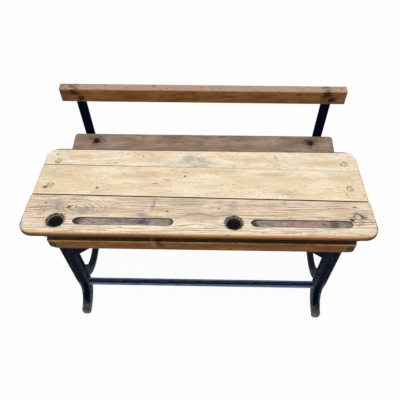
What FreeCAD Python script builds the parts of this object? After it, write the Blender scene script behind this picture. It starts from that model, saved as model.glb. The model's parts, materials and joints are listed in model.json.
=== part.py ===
# School desk with a lift lid and a joined bench: cast-iron ends, pine boards.
# X runs along the desk, +Y from the front of the desk towards the bench, Z up.
# The origin is on the floor, at the middle of the footprint. Millimetres and degrees.
import FreeCAD, Part
import math
import os
import types

import Sketcher

Vector = FreeCAD.Vector
Placement = FreeCAD.Placement
Rotation = FreeCAD.Rotation

# Driving dimensions: name, value, what it measures.
DIMENSIONS = [
    ("footprint_depth", 700, "front edge of the top to the rear toes"),
    ("top_length", 1070, "desk top, along X"),
    ("top_depth", 386.5, "desk top, down its slope"),
    ("top_thickness", 24, "boards of the desk top"),
    ("top_angle", 10, "fall of the top towards the bench"),
    ("top_front_height", 698.6, "upper face at the front edge"),
    ("corner_radius", 42, "rounded corners of the top in plan"),
    ("edge_round", 9, "worn outer edge of the top"),
    ("gap_edge_radius", 2.5, "worn edges on both sides of the lid gap"),
    ("ink_board_depth", 148.6, "fixed front board at mid length"),
    ("seam_angle", 0.81, "taper of the boards, seen as a turned seam"),
    ("hinge_gap", 5.6, "gap between ink board and lid"),
    ("lid_rear_depth", 95.5, "rear board of the lid at mid length"),
    ("seam_gap", 0.4, "shrinkage gap between the lid boards"),
    ("lid_end_inset", 3, "lid ends set in from the ink board ends"),
    ("ink_line", 47.5, "wells and grooves, from the front edge"),
    ("inkwell_radius", 21, "hole for an inkwell"),
    ("inkwell_rim_radius", 27.5, "rebate for the inkwell rim"),
    ("inkwell_rim_depth", 4, "rebate for the inkwell rim"),
    ("inkwell_offset", 107, "well from the left end of each half"),
    ("groove_start", 157, "pen groove from the left end of each half"),
    ("groove_end_margin", 74, "pen groove from the right end of each half"),
    ("groove_width", 31, "pen groove"),
    ("groove_depth", 7, "pen groove"),
    ("groove_point", 20, "tapered left end of the pen groove"),
    ("batten_width", 40, "battens under the lid, along X"),
    ("batten_thickness", 22, "battens under the lid"),
    ("batten_inset", 53, "middle of the outer battens from the ends of the top"),
    ("batten_front", 175.5, "battens, from the front edge"),
    ("batten_end_inset", 43, "battens from the rear edge of the top"),
    ("rest_clearance", 0.3, "lid above the box walls"),
    ("pellet_radius", 10, "wood plugs over the screws"),
    ("pellet_depth", 8, "wood plugs over the screws"),
    ("lid_screw_front", 199.5, "front screws of the outer battens"),
    ("lid_screw_rear_inset", 70, "rear screws of the outer battens from the rear edge"),
    ("lid_screw_centre_inset", 56, "screw of the centre batten from the rear edge"),
    ("ink_screw_inset", 53.5, "ink board screws from the ends of the top"),
    ("ink_screw_depth", 78, "ink board screws from the front edge"),
    ("cleat_front", 96.5, "ink board cleats, from the front edge"),
    ("cleat_length", 34, "ink board cleats, down the slope"),
    ("box_end_inset", 32, "book box from the ends of the top"),
    ("box_front", 66.5, "front panel face, from the footprint's front"),
    ("box_shift", 7.5, "book box off the middle of the desk"),
    ("lid_overhang", 17, "lid past the back panel"),
    ("box_drop", 198.6, "underside of the book box below the front edge"),
    ("box_floor_thickness", 16, "bottom of the book box"),
    ("panel_thickness", 18, "walls of the book box"),
    ("rail_thickness", 18, "rail planted on the front panel"),
    ("rail_height", 52, "rail planted on the front panel"),
    ("rail_lift", 15, "rail above the underside of the box"),
    ("rail_inset", 5.5, "ends of the rail from the ends of the box"),
    ("rail_corner", 26, "rounded lower left end of the rail"),
    ("rail_small_corner", 12, "rounded lower right end of the rail"),
    ("rail_edge_radius", 3, "worn long edges of the rail"),
    ("bracket_width", 25, "iron brackets under the ink board"),
    ("bracket_thickness", 4, "iron brackets under the ink board"),
    ("bracket_reach", 42, "brackets ahead of the front panel"),
    ("bracket_inset", 7.5, "outer brackets from the ends of the box"),
    ("plate_size", 20, "iron plates on the rail"),
    ("plate_thickness", 2.5, "iron plates on the rail"),
    ("plate_rise", 16, "iron plates above the underside of the rail"),
    ("plate_inset", 20, "iron plates from the ends of the box"),
    ("standard_inset", 26.5, "middle of each cast end from the ends of the box"),
    ("flange_width", 48, "cast flange above the taper"),
    ("toe_width", 34, "cast flange at the floor"),
    ("taper_height", 150, "height where the flange is full width"),
    ("flange_thickness", 8, "cast flange"),
    ("web_thickness", 10, "cast web"),
    ("channel_width", 24, "sunk face down the front of the leg"),
    ("channel_depth", 3.5, "sunk face down the front of the leg"),
    ("toe_setback", 17, "front toe behind the footprint's front"),
    ("toe_height", 18, "toes"),
    ("toe_nose", 13, "rounded tips of the toes"),
    ("toe_corner", 13, "rounded toes in plan"),
    ("heel_sweep", 92, "curve under the front foot"),
    ("rear_heel_sweep", 65, "curve under the rear foot"),
    ("runner_top", 44, "upper face of the runner"),
    ("runner_thickness", 14, "runner between the posts"),
    ("runner_width", 26, "runner between the posts, along X"),
    ("post_setback", 103.5, "front of the desk post"),
    ("post_depth", 28, "desk and bench posts, along Y"),
    ("foot_sweep", 82, "curve from the post to the front toe"),
    ("desk_sweep", 110, "curve from the desk post to the runner, on its inside"),
    ("desk_under_sweep", 160, "curve from the desk post to the runner, underneath"),
    ("haunch_depth", 38, "runner's thick end behind the desk post"),
    ("haunch_rise", 40, "runner's thick end above its curve"),
    ("bench_sweep", 110, "curve from the runner to the bench post"),
    ("arm_thickness", 24, "cast arms under box and seat"),
    ("box_arm_inset", 28, "arm under the box from the back panel's rear face"),
    ("box_arm_tip", 57, "straight end of the arm under the box"),
    ("seat_arm_inset", 20, "arm under the seat from the seat's front edge"),
    ("seat_brace", 120, "curve under the seat arm"),
    ("bench_setback", 56.5, "rear face of the bench post from the rear toes"),
    ("wing_drop", 173, "foot of the corner wing below the box"),
    ("wing_overlap", 13, "wing past the middle of the post"),
    ("wing_reach", 170, "wing along the underside of the box"),
    ("wing_head", 16, "start of the wing under the box"),
    ("wing_curve", 500, "radius of the wing's outer edge"),
    ("wing_thickness", 8, "wing plate"),
    ("wing_proud", 4, "wing ahead of the post"),
    ("foot_rail_height", 124, "underside of the foot rail"),
    ("foot_rail_upright", 20, "standing leg of the foot rail"),
    ("foot_rail_tread", 22, "flat leg of the foot rail"),
    ("foot_rail_thickness", 4, "angle iron of the foot rail"),
    ("foot_bolt_offset", 13, "foot rail bolt from the middle of the post"),
    ("seat_height", 424, "upper face of the seat"),
    ("seat_thickness", 25, "seat plank"),
    ("seat_depth", 263, "seat plank, along Y"),
    ("seat_overhang", 58, "seat past the middle of each cast end"),
    ("seat_round", 6, "worn edges of the seat"),
    ("seat_corner", 14, "rounded corners of the seat in plan"),
    ("seat_clearance", 2, "seat ahead of the uprights"),
    ("seat_bolt_offset", 37, "seat bolts from the middle of each cast end"),
    ("seat_bolt_rear_inset", 41, "rear seat bolts from the seat's rear edge"),
    ("seat_bolt_front_inset", 55, "front seat bolts from the seat's front edge"),
    ("lug_radius", 18, "cast lugs under the seat bolts"),
    ("lug_thickness", 8, "cast lugs under the seat bolts"),
    ("upright_width", 36.5, "flat iron uprights"),
    ("upright_thickness", 8, "flat iron uprights"),
    ("upright_offset", 3.5, "uprights from the middle of each cast end"),
    ("upright_drop", 124, "lower end of the uprights below the seat"),
    ("kink_drop", 24, "bend of the uprights below the seat"),
    ("back_angle", 2, "lean of the uprights above the bend"),
    ("back_rise", 258, "top of the back rail above the seat"),
    ("back_rail_height", 62, "back rail"),
    ("back_rail_thickness", 30, "back rail"),
    ("back_overhang", 62, "back rail past the middle of each upright"),
    ("back_round", 5, "worn edges of the back rail"),
    ("hinge_inset", 205, "outer hinges from the ends of the top"),
    ("leaf_length", 64, "hinge leaf"),
    ("leaf_height", 16, "hinge leaf below the knuckle"),
    ("leaf_sink", 2, "leaf let into the board edge"),
    ("leaf_proud", 0.5, "leaf proud of the board edge"),
    ("knuckle_radius", 2.5, "hinge knuckle"),
    ("knuckle_gap", 0.3, "play between knuckles"),
    ("hinge_pin_radius", 1.4, "hinge pin"),
    ("pin_clearance", 0.05, "pin in its knuckles"),
    ("axis_drop", 2.7, "hinge axis below the upper face"),
    ("hole_clearance", 0.15, "fasteners in their holes"),
]

doc = FreeCAD.newDocument("SchoolDesk")
sheet = doc.addObject("Spreadsheet::Sheet", "Sheet")


class Size:
    # A number that keeps the sheet formula it came from.
    def __init__(self, value, formula):
        self.value = float(value)
        self.formula = formula

    def __float__(self):
        return self.value

    def __neg__(self):
        return Size(-self.value, f"-({self.formula})")

    def __add__(self, other):
        other = as_size(other)
        return Size(self.value + other.value, f"({self.formula} + {other.formula})")

    def __radd__(self, other):
        return as_size(other) + self

    def __sub__(self, other):
        other = as_size(other)
        return Size(self.value - other.value, f"({self.formula} - {other.formula})")

    def __rsub__(self, other):
        return as_size(other) - self

    def __mul__(self, other):
        other = as_size(other)
        return Size(self.value * other.value, f"({self.formula} * {other.formula})")

    def __rmul__(self, other):
        return as_size(other) * self

    def __truediv__(self, other):
        other = as_size(other)
        return Size(self.value / other.value, f"({self.formula} / {other.formula})")


def as_size(number):
    if isinstance(number, Size):
        return number
    return Size(number, f"{float(number):.6f}")


def sine(angle):
    return Size(math.sin(math.radians(angle.value)), f"sin({angle.formula})")


def cosine(angle):
    return Size(math.cos(math.radians(angle.value)), f"cos({angle.formula})")


def tangent(angle):
    return Size(math.tan(math.radians(angle.value)), f"tan({angle.formula})")


def fill_sheet():
    sizes = {}
    for row, (name, value, note) in enumerate(DIMENSIONS, start=1):
        sheet.set(f"A{row}", note)
        sheet.set(f"B{row}", str(value))
        sheet.setAlias(f"B{row}", name)
        sizes[name] = Size(value, f"Sheet.{name}")
    doc.recompute()
    return types.SimpleNamespace(**sizes)


d = fill_sheet()

# Places worked out from the driving dimensions.
half_depth = d.footprint_depth / 2
half_top = d.top_length / 2
half_box = half_top - d.box_end_inset
box_length = half_box * 2
standard_line = half_box - d.standard_inset
slope_sin = sine(d.top_angle)
slope_cos = cosine(d.top_angle)
slope_tan = tangent(d.top_angle)
skew_tan = tangent(d.seam_angle)
nose_reach = d.edge_round * (1 - slope_cos) + (d.top_thickness - d.edge_round) * slope_sin
top_front = nose_reach - half_depth
panel_front = d.box_front - half_depth
panel_back = panel_front + d.panel_thickness
rail_front = panel_front - d.rail_thickness
box_floor_height = d.top_front_height - d.box_drop
rail_low = box_floor_height + d.rail_lift
rail_top = rail_low + d.rail_height
back_panel_rear = top_front + d.top_depth * slope_cos - d.lid_overhang
back_panel_front = back_panel_rear - d.panel_thickness
end_inner = half_box - d.panel_thickness
post_front = d.post_setback - half_depth
post_back = post_front + d.post_depth
box_arm_end = back_panel_rear - d.box_arm_inset
box_brace = box_arm_end - d.box_arm_tip - post_back
bench_rear = half_depth - d.bench_setback
bench_front = bench_rear - d.post_depth
seat_under = d.seat_height - d.seat_thickness
seat_rear = bench_rear - d.seat_clearance
seat_front = seat_rear - d.seat_depth
seat_arm_start = seat_front + d.seat_arm_inset
seat_bolt_line = standard_line - d.seat_bolt_offset
seat_bolt_rear = seat_rear - d.seat_bolt_rear_inset
seat_bolt_front = seat_front + d.seat_bolt_front_inset
upright_line = standard_line - d.upright_offset
upright_foot = d.seat_height - d.upright_drop
upright_kink = d.seat_height - d.kink_drop
back_height = d.seat_height + d.back_rise
wing_root_height = box_floor_height - d.wing_drop
half_flange = d.flange_width / 2
lid_front = d.ink_board_depth + d.hinge_gap
lid_seam = d.top_depth - d.lid_rear_depth
lid_screw_rear = d.top_depth - d.lid_screw_rear_inset
lid_screw_centre = d.top_depth - d.lid_screw_centre_inset
batten_line = half_top - d.batten_inset
batten_length = d.top_depth - d.batten_end_inset - d.batten_front
ink_screw_line = half_top - d.ink_screw_inset
hinge_line = half_top - d.hinge_inset
groove_length = half_top - d.groove_start - d.groove_end_margin
bracket_line = half_box - d.bracket_inset
plate_line = half_box - d.plate_inset
hinge_depth = d.ink_board_depth + d.hinge_gap / 2
cleat_thickness = d.batten_thickness + d.rest_clearance
SIDES = (("left", -1), ("right", 1))


def wood_under(y, drop):
    # Height of a plane that lies a given drop below the sloping upper face.
    return d.top_front_height - (y - top_front) * slope_tan - drop / slope_cos


def in_top(x, s, n):
    # A point given along the desk, down the slope and square to the top.
    y = top_front + s * slope_cos + n * slope_sin
    z = d.top_front_height - s * slope_sin + n * slope_cos
    return x, y, z


def bind(obj, **sizes):
    for name, size in sizes.items():
        obj.setExpression(name, as_size(size).formula)


def set_base(obj, x, y, z):
    for axis, size in (("x", x), ("y", y), ("z", z)):
        obj.setExpression(f"Placement.Base.{axis}", as_size(size).formula)


def point(x, y, z):
    return Vector(float(x), float(y), float(z))


def top_placement():
    return Placement(point(0, top_front, d.top_front_height), Rotation(Vector(1, 0, 0), -float(d.top_angle)))


def set_in_top(obj, x=0, s=0, n=0):
    # Turn an object with the sloping top and set its origin there.
    obj.Placement = top_placement()
    obj.setExpression("Placement.Rotation.Angle", f"-{d.top_angle.formula}")
    set_base(obj, *in_top(as_size(x), as_size(s), as_size(n)))


def new_body(label):
    body = doc.addObject("PartDesign::Body", label)
    body.Label = label
    return body


def arc_centre(a, b, radius, turn):
    # Centre of the shorter arc from a to b; a positive turn runs anticlockwise.
    chord = b - a
    height = math.sqrt(max(radius ** 2 - (chord.Length / 2) ** 2, 0))
    left = Vector(-chord.y, chord.x, 0).normalize()
    return (a + b) / 2 + left * (height * turn)


def add_arc(sketch, a, b, radius, turn):
    centre = arc_centre(a, b, radius, turn)
    start, end = (a, b) if turn > 0 else (b, a)
    first = math.atan2(start.y - centre.y, start.x - centre.x)
    last = math.atan2(end.y - centre.y, end.x - centre.x)
    if last < first:
        last += 2 * math.pi
    circle = Part.Circle(centre, Vector(0, 0, 1), radius)
    return sketch.addGeometry(Part.ArcOfCircle(circle, first, last), False)


def fix_point(sketch, geometry, end, x, y):
    for kind, size in (("DistanceX", x), ("DistanceY", y)):
        size = as_size(size)
        index = sketch.addConstraint(Sketcher.Constraint(kind, -1, 1, geometry, end, float(size)))
        sketch.setExpression(f"Constraints[{index}]", size.formula)


def fix_radius(sketch, geometry, radius):
    radius = as_size(radius)
    index = sketch.addConstraint(Sketcher.Constraint("Radius", geometry, float(radius)))
    sketch.setExpression(f"Constraints[{index}]", radius.formula)


def add_loop(sketch, steps):
    # Each step is a point (x, y), or (x, y, radius, turn) for an arc that arrives there.
    corners = [point(step[0], step[1], 0) for step in steps]
    ends = []
    for index, step in enumerate(steps):
        a = corners[index - 1]
        b = corners[index]
        if len(step) == 2:
            geometry = sketch.addGeometry(Part.LineSegment(a, b), False)
            ends.append((geometry, 1, 2))
        else:
            geometry = add_arc(sketch, a, b, float(step[2]), step[3])
            ends.append((geometry, 1, 2) if step[3] > 0 else (geometry, 2, 1))
    for index, step in enumerate(steps):
        geometry, start, end = ends[index]
        following, next_start, next_end = ends[(index + 1) % len(steps)]
        sketch.addConstraint(Sketcher.Constraint("Coincident", geometry, end, following, next_start))
        fix_point(sketch, geometry, end, step[0], step[1])
        if len(step) > 2:
            fix_radius(sketch, geometry, step[2])


def add_circle(sketch, x, y, radius):
    circle = Part.Circle(point(x, y, 0), Vector(0, 0, 1), float(radius))
    geometry = sketch.addGeometry(circle, False)
    fix_point(sketch, geometry, 3, x, y)
    fix_radius(sketch, geometry, radius)


def new_sketch(body, plane, loops=(), circles=(), lift=0):
    planes = {feature.Role: feature for feature in body.Origin.OriginFeatures}
    sketch = body.newObject("Sketcher::SketchObject", f"{body.Name}_sketch")
    sketch.AttachmentSupport = [(planes[f"{plane}_Plane"], "")]
    sketch.MapMode = "FlatFace"
    lift = as_size(lift)
    sketch.AttachmentOffset = Placement(Vector(0, 0, float(lift)), Rotation())
    sketch.setExpression("AttachmentOffset.Base.z", lift.formula)
    for steps in loops:
        add_loop(sketch, steps)
    for circle in circles:
        add_circle(sketch, *circle)
    doc.recompute()
    return sketch


def add_pad(body, sketch, length, symmetric=False, backward=False):
    pad = body.newObject("PartDesign::Pad", f"{body.Name}_pad")
    pad.Profile = sketch
    pad.SideType = "Symmetric" if symmetric else "One side"
    pad.Reversed = backward
    bind(pad, Length=length)
    doc.recompute()
    return pad


def add_pocket(body, sketch, length, symmetric=False, backward=False):
    before = body.Shape.Volume
    pocket = body.newObject("PartDesign::Pocket", f"{body.Name}_pocket")
    pocket.Profile = sketch
    pocket.SideType = "Symmetric" if symmetric else "One side"
    pocket.Reversed = backward
    bind(pocket, Length=length)
    doc.recompute()
    if body.Shape.Volume >= before:
        raise RuntimeError(f"{pocket.Name} cuts nothing")
    return pocket


def add_fillet(body, radius, wanted):
    base = body.Tip
    names = []
    for index, edge in enumerate(base.Shape.Edges, start=1):
        middle = edge.valueAt((edge.FirstParameter + edge.LastParameter) / 2)
        if wanted(edge, middle):
            names.append(f"Edge{index}")
    fillet = body.newObject("PartDesign::Fillet", f"{body.Name}_fillet")
    fillet.Base = (base, names)
    bind(fillet, Radius=radius)
    doc.recompute()
    return fillet


def rectangle(x0, y0, x1, y1):
    return [(x0, y0), (x1, y0), (x1, y1), (x0, y1)]


def turned(shape, place):
    shape.Placement = place
    return shape


def facing(origin, direction):
    # A placement whose local Z points along a direction.
    return Placement(origin, Rotation(Vector(0, 0, 1), direction))


def rod(origin, direction, radius, length):
    return turned(Part.makeCylinder(float(radius), float(length)), facing(origin, direction))


def revolved(profile):
    wire = Part.Wire(profile)
    return Part.Face(wire).revolve(Vector(0, 0, 0), Vector(0, 0, 1), 360)


def lines(*points):
    places = [Vector(float(x), 0, float(z)) for x, z in points]
    return [Part.LineSegment(a, b).toShape() for a, b in zip(places, places[1:])]


def dome_bolt(head_radius, head_height, shank_radius, length):
    # Mushroom head above Z = 0, plain shank below it.
    crown = Vector(0, 0, head_height)
    rim = Vector(head_radius, 0, 0)
    sphere = (head_radius ** 2 + head_height ** 2) / (2 * head_height)
    half = math.asin(head_radius / sphere) / 2
    middle = Vector(sphere * math.sin(half), 0, head_height - sphere + sphere * math.cos(half))
    head = [Part.Arc(crown, middle, rim).toShape()]
    shank = lines((head_radius, 0), (shank_radius, 0), (shank_radius, -length), (0, -length), (0, head_height))
    return revolved(head + shank)


def wood_screw(head_radius, head_height, shank_radius, length):
    # Countersunk head flush with Z = 0, shank below it with a short point.
    tip = shank_radius * POINT_RATIO
    return revolved(lines((0, 0), (head_radius, 0), (shank_radius, -head_height), (shank_radius, tip - length),
                          (0, -length), (0, 0)))


def hex_nut(across_flats, height, bore_radius):
    corner = across_flats / math.sqrt(3)
    corners = [Vector(corner * math.cos(math.radians(60 * i)), corner * math.sin(math.radians(60 * i)), 0)
               for i in range(7)]
    prism = Part.Face(Part.makePolygon(corners)).extrude(Vector(0, 0, height))
    return prism.cut(Part.makeCylinder(bore_radius, height))


def group(label, solids):
    feature = doc.addObject("Part::Feature", label)
    feature.Label = label
    feature.Shape = Part.makeCompound(solids)
    return feature


def cut_from(label, base, tools):
    # The base keeps its history; the tools are the holes and housings of what it carries.
    base.Label = f"{label}_blank"
    tool = group(f"{label}_tools", tools)
    cut = doc.addObject("Part::Cut", label)
    cut.Label = label
    cut.Base = base
    cut.Tool = tool
    doc.recompute()
    return cut


nodes = []


def keep(obj):
    nodes.append(obj)
    return obj


# Fastener sizes, all of them standard.
BOLT_RADIUS = 4.0
SMALL_BOLT_RADIUS = 3.0
SCREW_RADIUS = 2.4
SCREW_HEAD_RADIUS = 4.6
SCREW_HEAD_HEIGHT = 2.6
SCREW_GRIP = 14
PIN_SCREW_RADIUS = 1.2
PIN_SCREW_HEAD_RADIUS = 2.1
PIN_SCREW_HEAD_HEIGHT = 0.9
PIN_SCREW_LENGTH = 12
WALL_SCREW_RADIUS = 1.8
WALL_SCREW_HEAD_RADIUS = 3.7
WALL_SCREW_HEAD_HEIGHT = 1.8
POINT_RATIO = 1.5
clearance = float(d.hole_clearance)


# Desk top: points square to the top, shared by the boards, the screws and the plugs.
top_up = Vector(0, float(slope_sin), float(slope_cos))


def on_top(x, s, n=0):
    return point(*in_top(as_size(x), as_size(s), as_size(n)))


lid_screw_places = [(side * float(batten_line), float(depth))
                    for side in (-1, 1) for depth in (d.lid_screw_front, lid_screw_rear)]
lid_screw_places.append((0.0, float(lid_screw_centre)))
ink_screw_places = [(side * float(ink_screw_line), float(d.ink_screw_depth)) for side in (-1, 1)]
plug_depth = float(d.pellet_depth)
board = float(d.top_thickness)


def plug_hole(x, s):
    return rod(on_top(x, s, -plug_depth), top_up, d.pellet_radius, plug_depth * 2)


def screw_hole(x, s):
    reach = board + SCREW_GRIP + clearance - plug_depth
    return rod(on_top(x, s, -plug_depth), -top_up, SCREW_RADIUS + clearance, reach)


def head_hole(x, s):
    head = Part.makeCone(SCREW_HEAD_RADIUS + clearance, SCREW_RADIUS + clearance, SCREW_HEAD_HEIGHT)
    return turned(head, facing(on_top(x, s, -plug_depth), -top_up))


def plugs(label, places):
    solids = []
    for x, s in places:
        solids.append(rod(on_top(x, s, -plug_depth), top_up, d.pellet_radius - d.hole_clearance, plug_depth))
    return keep(group(label, solids))


def top_screws(label, places):
    length = board + SCREW_GRIP - plug_depth
    solids = []
    for x, s in places:
        screw = wood_screw(SCREW_HEAD_RADIUS, SCREW_HEAD_HEIGHT, SCREW_RADIUS, length)
        solids.append(turned(screw, facing(on_top(x, s, -plug_depth), top_up)))
    return keep(group(label, solids))


# Hinges: every leaf is drawn about the hinge axis, with X along it.
hinge_places = (("left", -float(hinge_line)), ("centre", 0.0), ("right", float(hinge_line)))
leaf_inner = d.hinge_gap / 2 - d.leaf_proud
leaf_outer = d.hinge_gap / 2 + d.leaf_sink
leaf_top = d.knuckle_radius + 2 * d.knuckle_gap
leaf_bottom = leaf_top + d.leaf_height
neck_top = d.hinge_pin_radius / 2
neck_inner = d.hinge_pin_radius / 2
knuckle_pitch = d.leaf_length / 3
leaf_hole_pitch = d.leaf_length / 3
leaf_hole_drop = leaf_top + d.leaf_height / 2


def hinge_frame(x):
    on_board = Placement(point(x, hinge_depth - x * skew_tan, -d.axis_drop),
                         Rotation(Vector(0, 0, 1), -float(d.seam_angle)))
    return top_placement().multiply(on_board)


def leaf_housing(x, side):
    # The shallow housing that a leaf is let into, with its screw holes.
    length = float(d.leaf_length) + 2 * clearance
    edge = float(d.hinge_gap) / 2
    depth = float(d.leaf_sink) + clearance
    low = -float(leaf_bottom) - clearance
    high = -float(neck_top) + clearance
    start = -depth - edge if side < 0 else 0
    box = Part.makeBox(length, depth + edge, high - low, Vector(-length / 2, start, low))
    tools = [turned(box, hinge_frame(x))]
    for shift in (-0.5, 0.5):
        origin = Vector(shift * float(leaf_hole_pitch), 0, -float(leaf_hole_drop))
        length = float(leaf_inner) + PIN_SCREW_LENGTH + clearance
        hole = rod(origin, Vector(0, side, 0), PIN_SCREW_RADIUS + clearance, length)
        hole.Placement = hinge_frame(x).multiply(hole.Placement)
        tools.append(hole)
    return tools


def hinge_leaf(label, x, side, knuckles):
    leaf = new_body(label)
    plate = rectangle(side * leaf_inner, -leaf_bottom, side * leaf_outer, -leaf_top)
    add_pad(leaf, new_sketch(leaf, "YZ", [plate]), d.leaf_length, symmetric=True)
    width = knuckle_pitch - d.knuckle_gap
    for step in knuckles:
        centre = knuckle_pitch * step
        neck = rectangle(side * neck_inner, -leaf_top - d.knuckle_gap, side * leaf_outer, -neck_top)
        add_pad(leaf, new_sketch(leaf, "YZ", [neck], lift=centre), width, symmetric=True)
        barrel = (0, 0, d.knuckle_radius)
        add_pad(leaf, new_sketch(leaf, "YZ", circles=[barrel], lift=centre), width, symmetric=True)
    bore = (0, 0, d.hinge_pin_radius + d.pin_clearance)
    add_pocket(leaf, new_sketch(leaf, "YZ", circles=[bore]), d.leaf_length * 2, symmetric=True)
    holes = [(leaf_hole_pitch * shift, -leaf_hole_drop, PIN_SCREW_RADIUS + d.hole_clearance)
             for shift in (-0.5, 0.5)]
    add_pocket(leaf, new_sketch(leaf, "XZ", circles=holes), d.leaf_length, symmetric=True)
    leaf.Placement = hinge_frame(x)
    return keep(leaf)


def hinge_pin(label, x):
    pin = doc.addObject("Part::Cylinder", label)
    pin.Label = label
    bind(pin, Radius=d.hinge_pin_radius, Height=d.leaf_length)
    along = Placement(point(-d.leaf_length / 2, 0, 0), Rotation(Vector(0, 1, 0), 90))
    pin.Placement = hinge_frame(x).multiply(along)
    return keep(pin)


def leaf_screws(label, side):
    solids = []
    for name, x in hinge_places:
        for shift in (-0.5, 0.5):
            screw = dome_bolt(PIN_SCREW_HEAD_RADIUS, PIN_SCREW_HEAD_HEIGHT, PIN_SCREW_RADIUS, PIN_SCREW_LENGTH)
            origin = Vector(shift * float(leaf_hole_pitch), side * float(leaf_inner), -float(leaf_hole_drop))
            screw.Placement = hinge_frame(x).multiply(facing(origin, Vector(0, -side, 0)))
            solids.append(screw)
    return keep(group(label, solids))


# Boards of the top, drawn in plan with the upper face at Z = 0.
TOLERANCE = 0.01
NEAR_JOINT = 1


def at_height(edge, height):
    return all(abs(vertex.Z - height) < TOLERANCE for vertex in edge.Vertexes)


def on_joint(middle, depth):
    # The long edges of a joint have their middle on the desk's middle line.
    return abs(middle.x) < NEAR_JOINT and abs(middle.y - float(depth)) < NEAR_JOINT


def round_outside(body, joint_depths):
    # Round the worn outer edges, but not the edges that meet another board.
    def outside(edge, middle):
        level = at_height(edge, 0) or at_height(edge, -board)
        joint = any(on_joint(middle, depth) for depth in joint_depths)
        return level and not joint

    add_fillet(body, d.edge_round, outside)


def round_gap_edge(body, depth):
    def gap_edge(edge, middle):
        return at_height(edge, 0) and on_joint(middle, depth)

    add_fillet(body, d.gap_edge_radius, gap_edge)


def make_ink_board():
    body = new_body("ink_board_body")
    radius = d.corner_radius
    swing = half_top * skew_tan
    outline = [(half_top - radius, 0), (half_top, radius, radius, 1), (half_top, d.ink_board_depth - swing),
               (-half_top, d.ink_board_depth + swing), (-half_top, radius), (radius - half_top, 0, radius, 1)]
    add_pad(body, new_sketch(body, "XY", [outline]), d.top_thickness, backward=True)
    round_outside(body, [d.ink_board_depth])
    round_gap_edge(body, d.ink_board_depth)
    wells = [(start + d.inkwell_offset, d.ink_line) for start in (-half_top, as_size(0))]
    holes = [(x, s, d.inkwell_radius) for x, s in wells]
    rims = [(x, s, d.inkwell_rim_radius) for x, s in wells]
    add_pocket(body, new_sketch(body, "XY", circles=holes), d.top_thickness * 3, symmetric=True)
    add_pocket(body, new_sketch(body, "XY", circles=rims), d.inkwell_rim_depth)
    grooves = [pen_groove(start + d.groove_start) for start in (-half_top, as_size(0))]
    add_pocket(body, new_sketch(body, "XY", grooves), d.groove_depth)
    set_in_top(body)
    tools = []
    for x, s in ink_screw_places:
        tools += [plug_hole(x, s), screw_hole(x, s), head_hole(x, s)]
    for name, x in hinge_places:
        tools += leaf_housing(x, -1)
    return keep(cut_from("ink_board", body, tools))


def pen_groove(start):
    half = d.groove_width / 2
    near = d.ink_line - half
    far = d.ink_line + half
    end = start + groove_length
    round_start = start + d.groove_point
    bow = (half * half + d.groove_point * d.groove_point) / (half * 2)
    return [(round_start, near, bow, 1), (end - half, near), (end, d.ink_line, half, 1),
            (end - half, far, half, 1), (round_start, far), (start, d.ink_line, bow, 1)]


def make_lid_front_board():
    body = new_body("lid_front_board_body")
    half = half_top - d.lid_end_inset
    swing = half * skew_tan
    outline = [(-half, lid_front + swing), (half, lid_front - swing), (half, lid_seam - swing),
               (-half, lid_seam + swing)]
    add_pad(body, new_sketch(body, "XY", [outline]), d.top_thickness, backward=True)
    round_outside(body, [lid_front, lid_seam])
    round_gap_edge(body, lid_front)
    set_in_top(body)
    tools = []
    for x, s in lid_screw_places:
        if s < float(lid_seam):
            tools += [plug_hole(x, s), screw_hole(x, s), head_hole(x, s)]
    for name, x in hinge_places:
        tools += leaf_housing(x, 1)
    return keep(cut_from("lid_front_board", body, tools))


def make_lid_rear_board():
    body = new_body("lid_rear_board_body")
    half = half_top - d.lid_end_inset
    swing = half * skew_tan
    front = lid_seam + d.seam_gap
    radius = d.corner_radius
    outline = [(-half, front + swing), (half, front - swing), (half, d.top_depth - radius),
               (half - radius, d.top_depth, radius, 1), (radius - half, d.top_depth),
               (-half, d.top_depth - radius, radius, 1)]
    add_pad(body, new_sketch(body, "XY", [outline]), d.top_thickness, backward=True)
    round_outside(body, [front])
    set_in_top(body)
    tools = []
    for x, s in lid_screw_places:
        if s > float(lid_seam):
            tools += [plug_hole(x, s), screw_hole(x, s), head_hole(x, s)]
    return keep(cut_from("lid_rear_board", body, tools))


def under_top(label, x, width, front, length, thickness, screws):
    # A batten or cleat against the underside of the boards.
    bar = doc.addObject("Part::Box", f"{label}_bar")
    bind(bar, Length=width, Width=length, Height=thickness)
    set_in_top(bar, as_size(x) - width / 2, front, -d.top_thickness - thickness)
    doc.recompute()
    if not screws:
        bar.Label = label
        return keep(bar)
    return keep(cut_from(label, bar, [screw_hole(*place) for place in screws]))


def make_top():
    make_ink_board()
    make_lid_front_board()
    make_lid_rear_board()
    for name, side in SIDES:
        screws = [place for place in lid_screw_places if place[0] * side > 0]
        under_top(f"lid_{name}_batten", side * batten_line, d.batten_width, d.batten_front, batten_length,
                  d.batten_thickness, screws)
        under_top(f"ink_board_{name}_cleat", side * batten_line, d.batten_width, d.cleat_front, d.cleat_length,
                  cleat_thickness, [])
    under_top("lid_centre_batten", 0, d.batten_width, d.batten_front, batten_length, d.batten_thickness,
              [place for place in lid_screw_places if place[0] == 0])
    plugs("lid_plugs", lid_screw_places)
    top_screws("lid_screws", lid_screw_places)
    plugs("ink_board_plugs", ink_screw_places)
    top_screws("ink_board_screws", ink_screw_places)


def make_hinges():
    for name, x in hinge_places:
        hinge_leaf(f"hinge_{name}_fixed_leaf", x, -1, (-1, 1))
        hinge_leaf(f"hinge_{name}_lid_leaf", x, 1, (0,))
        hinge_pin(f"hinge_{name}_pin", x)
    leaf_screws("hinge_fixed_screws", -1)
    leaf_screws("hinge_lid_screws", 1)


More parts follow.
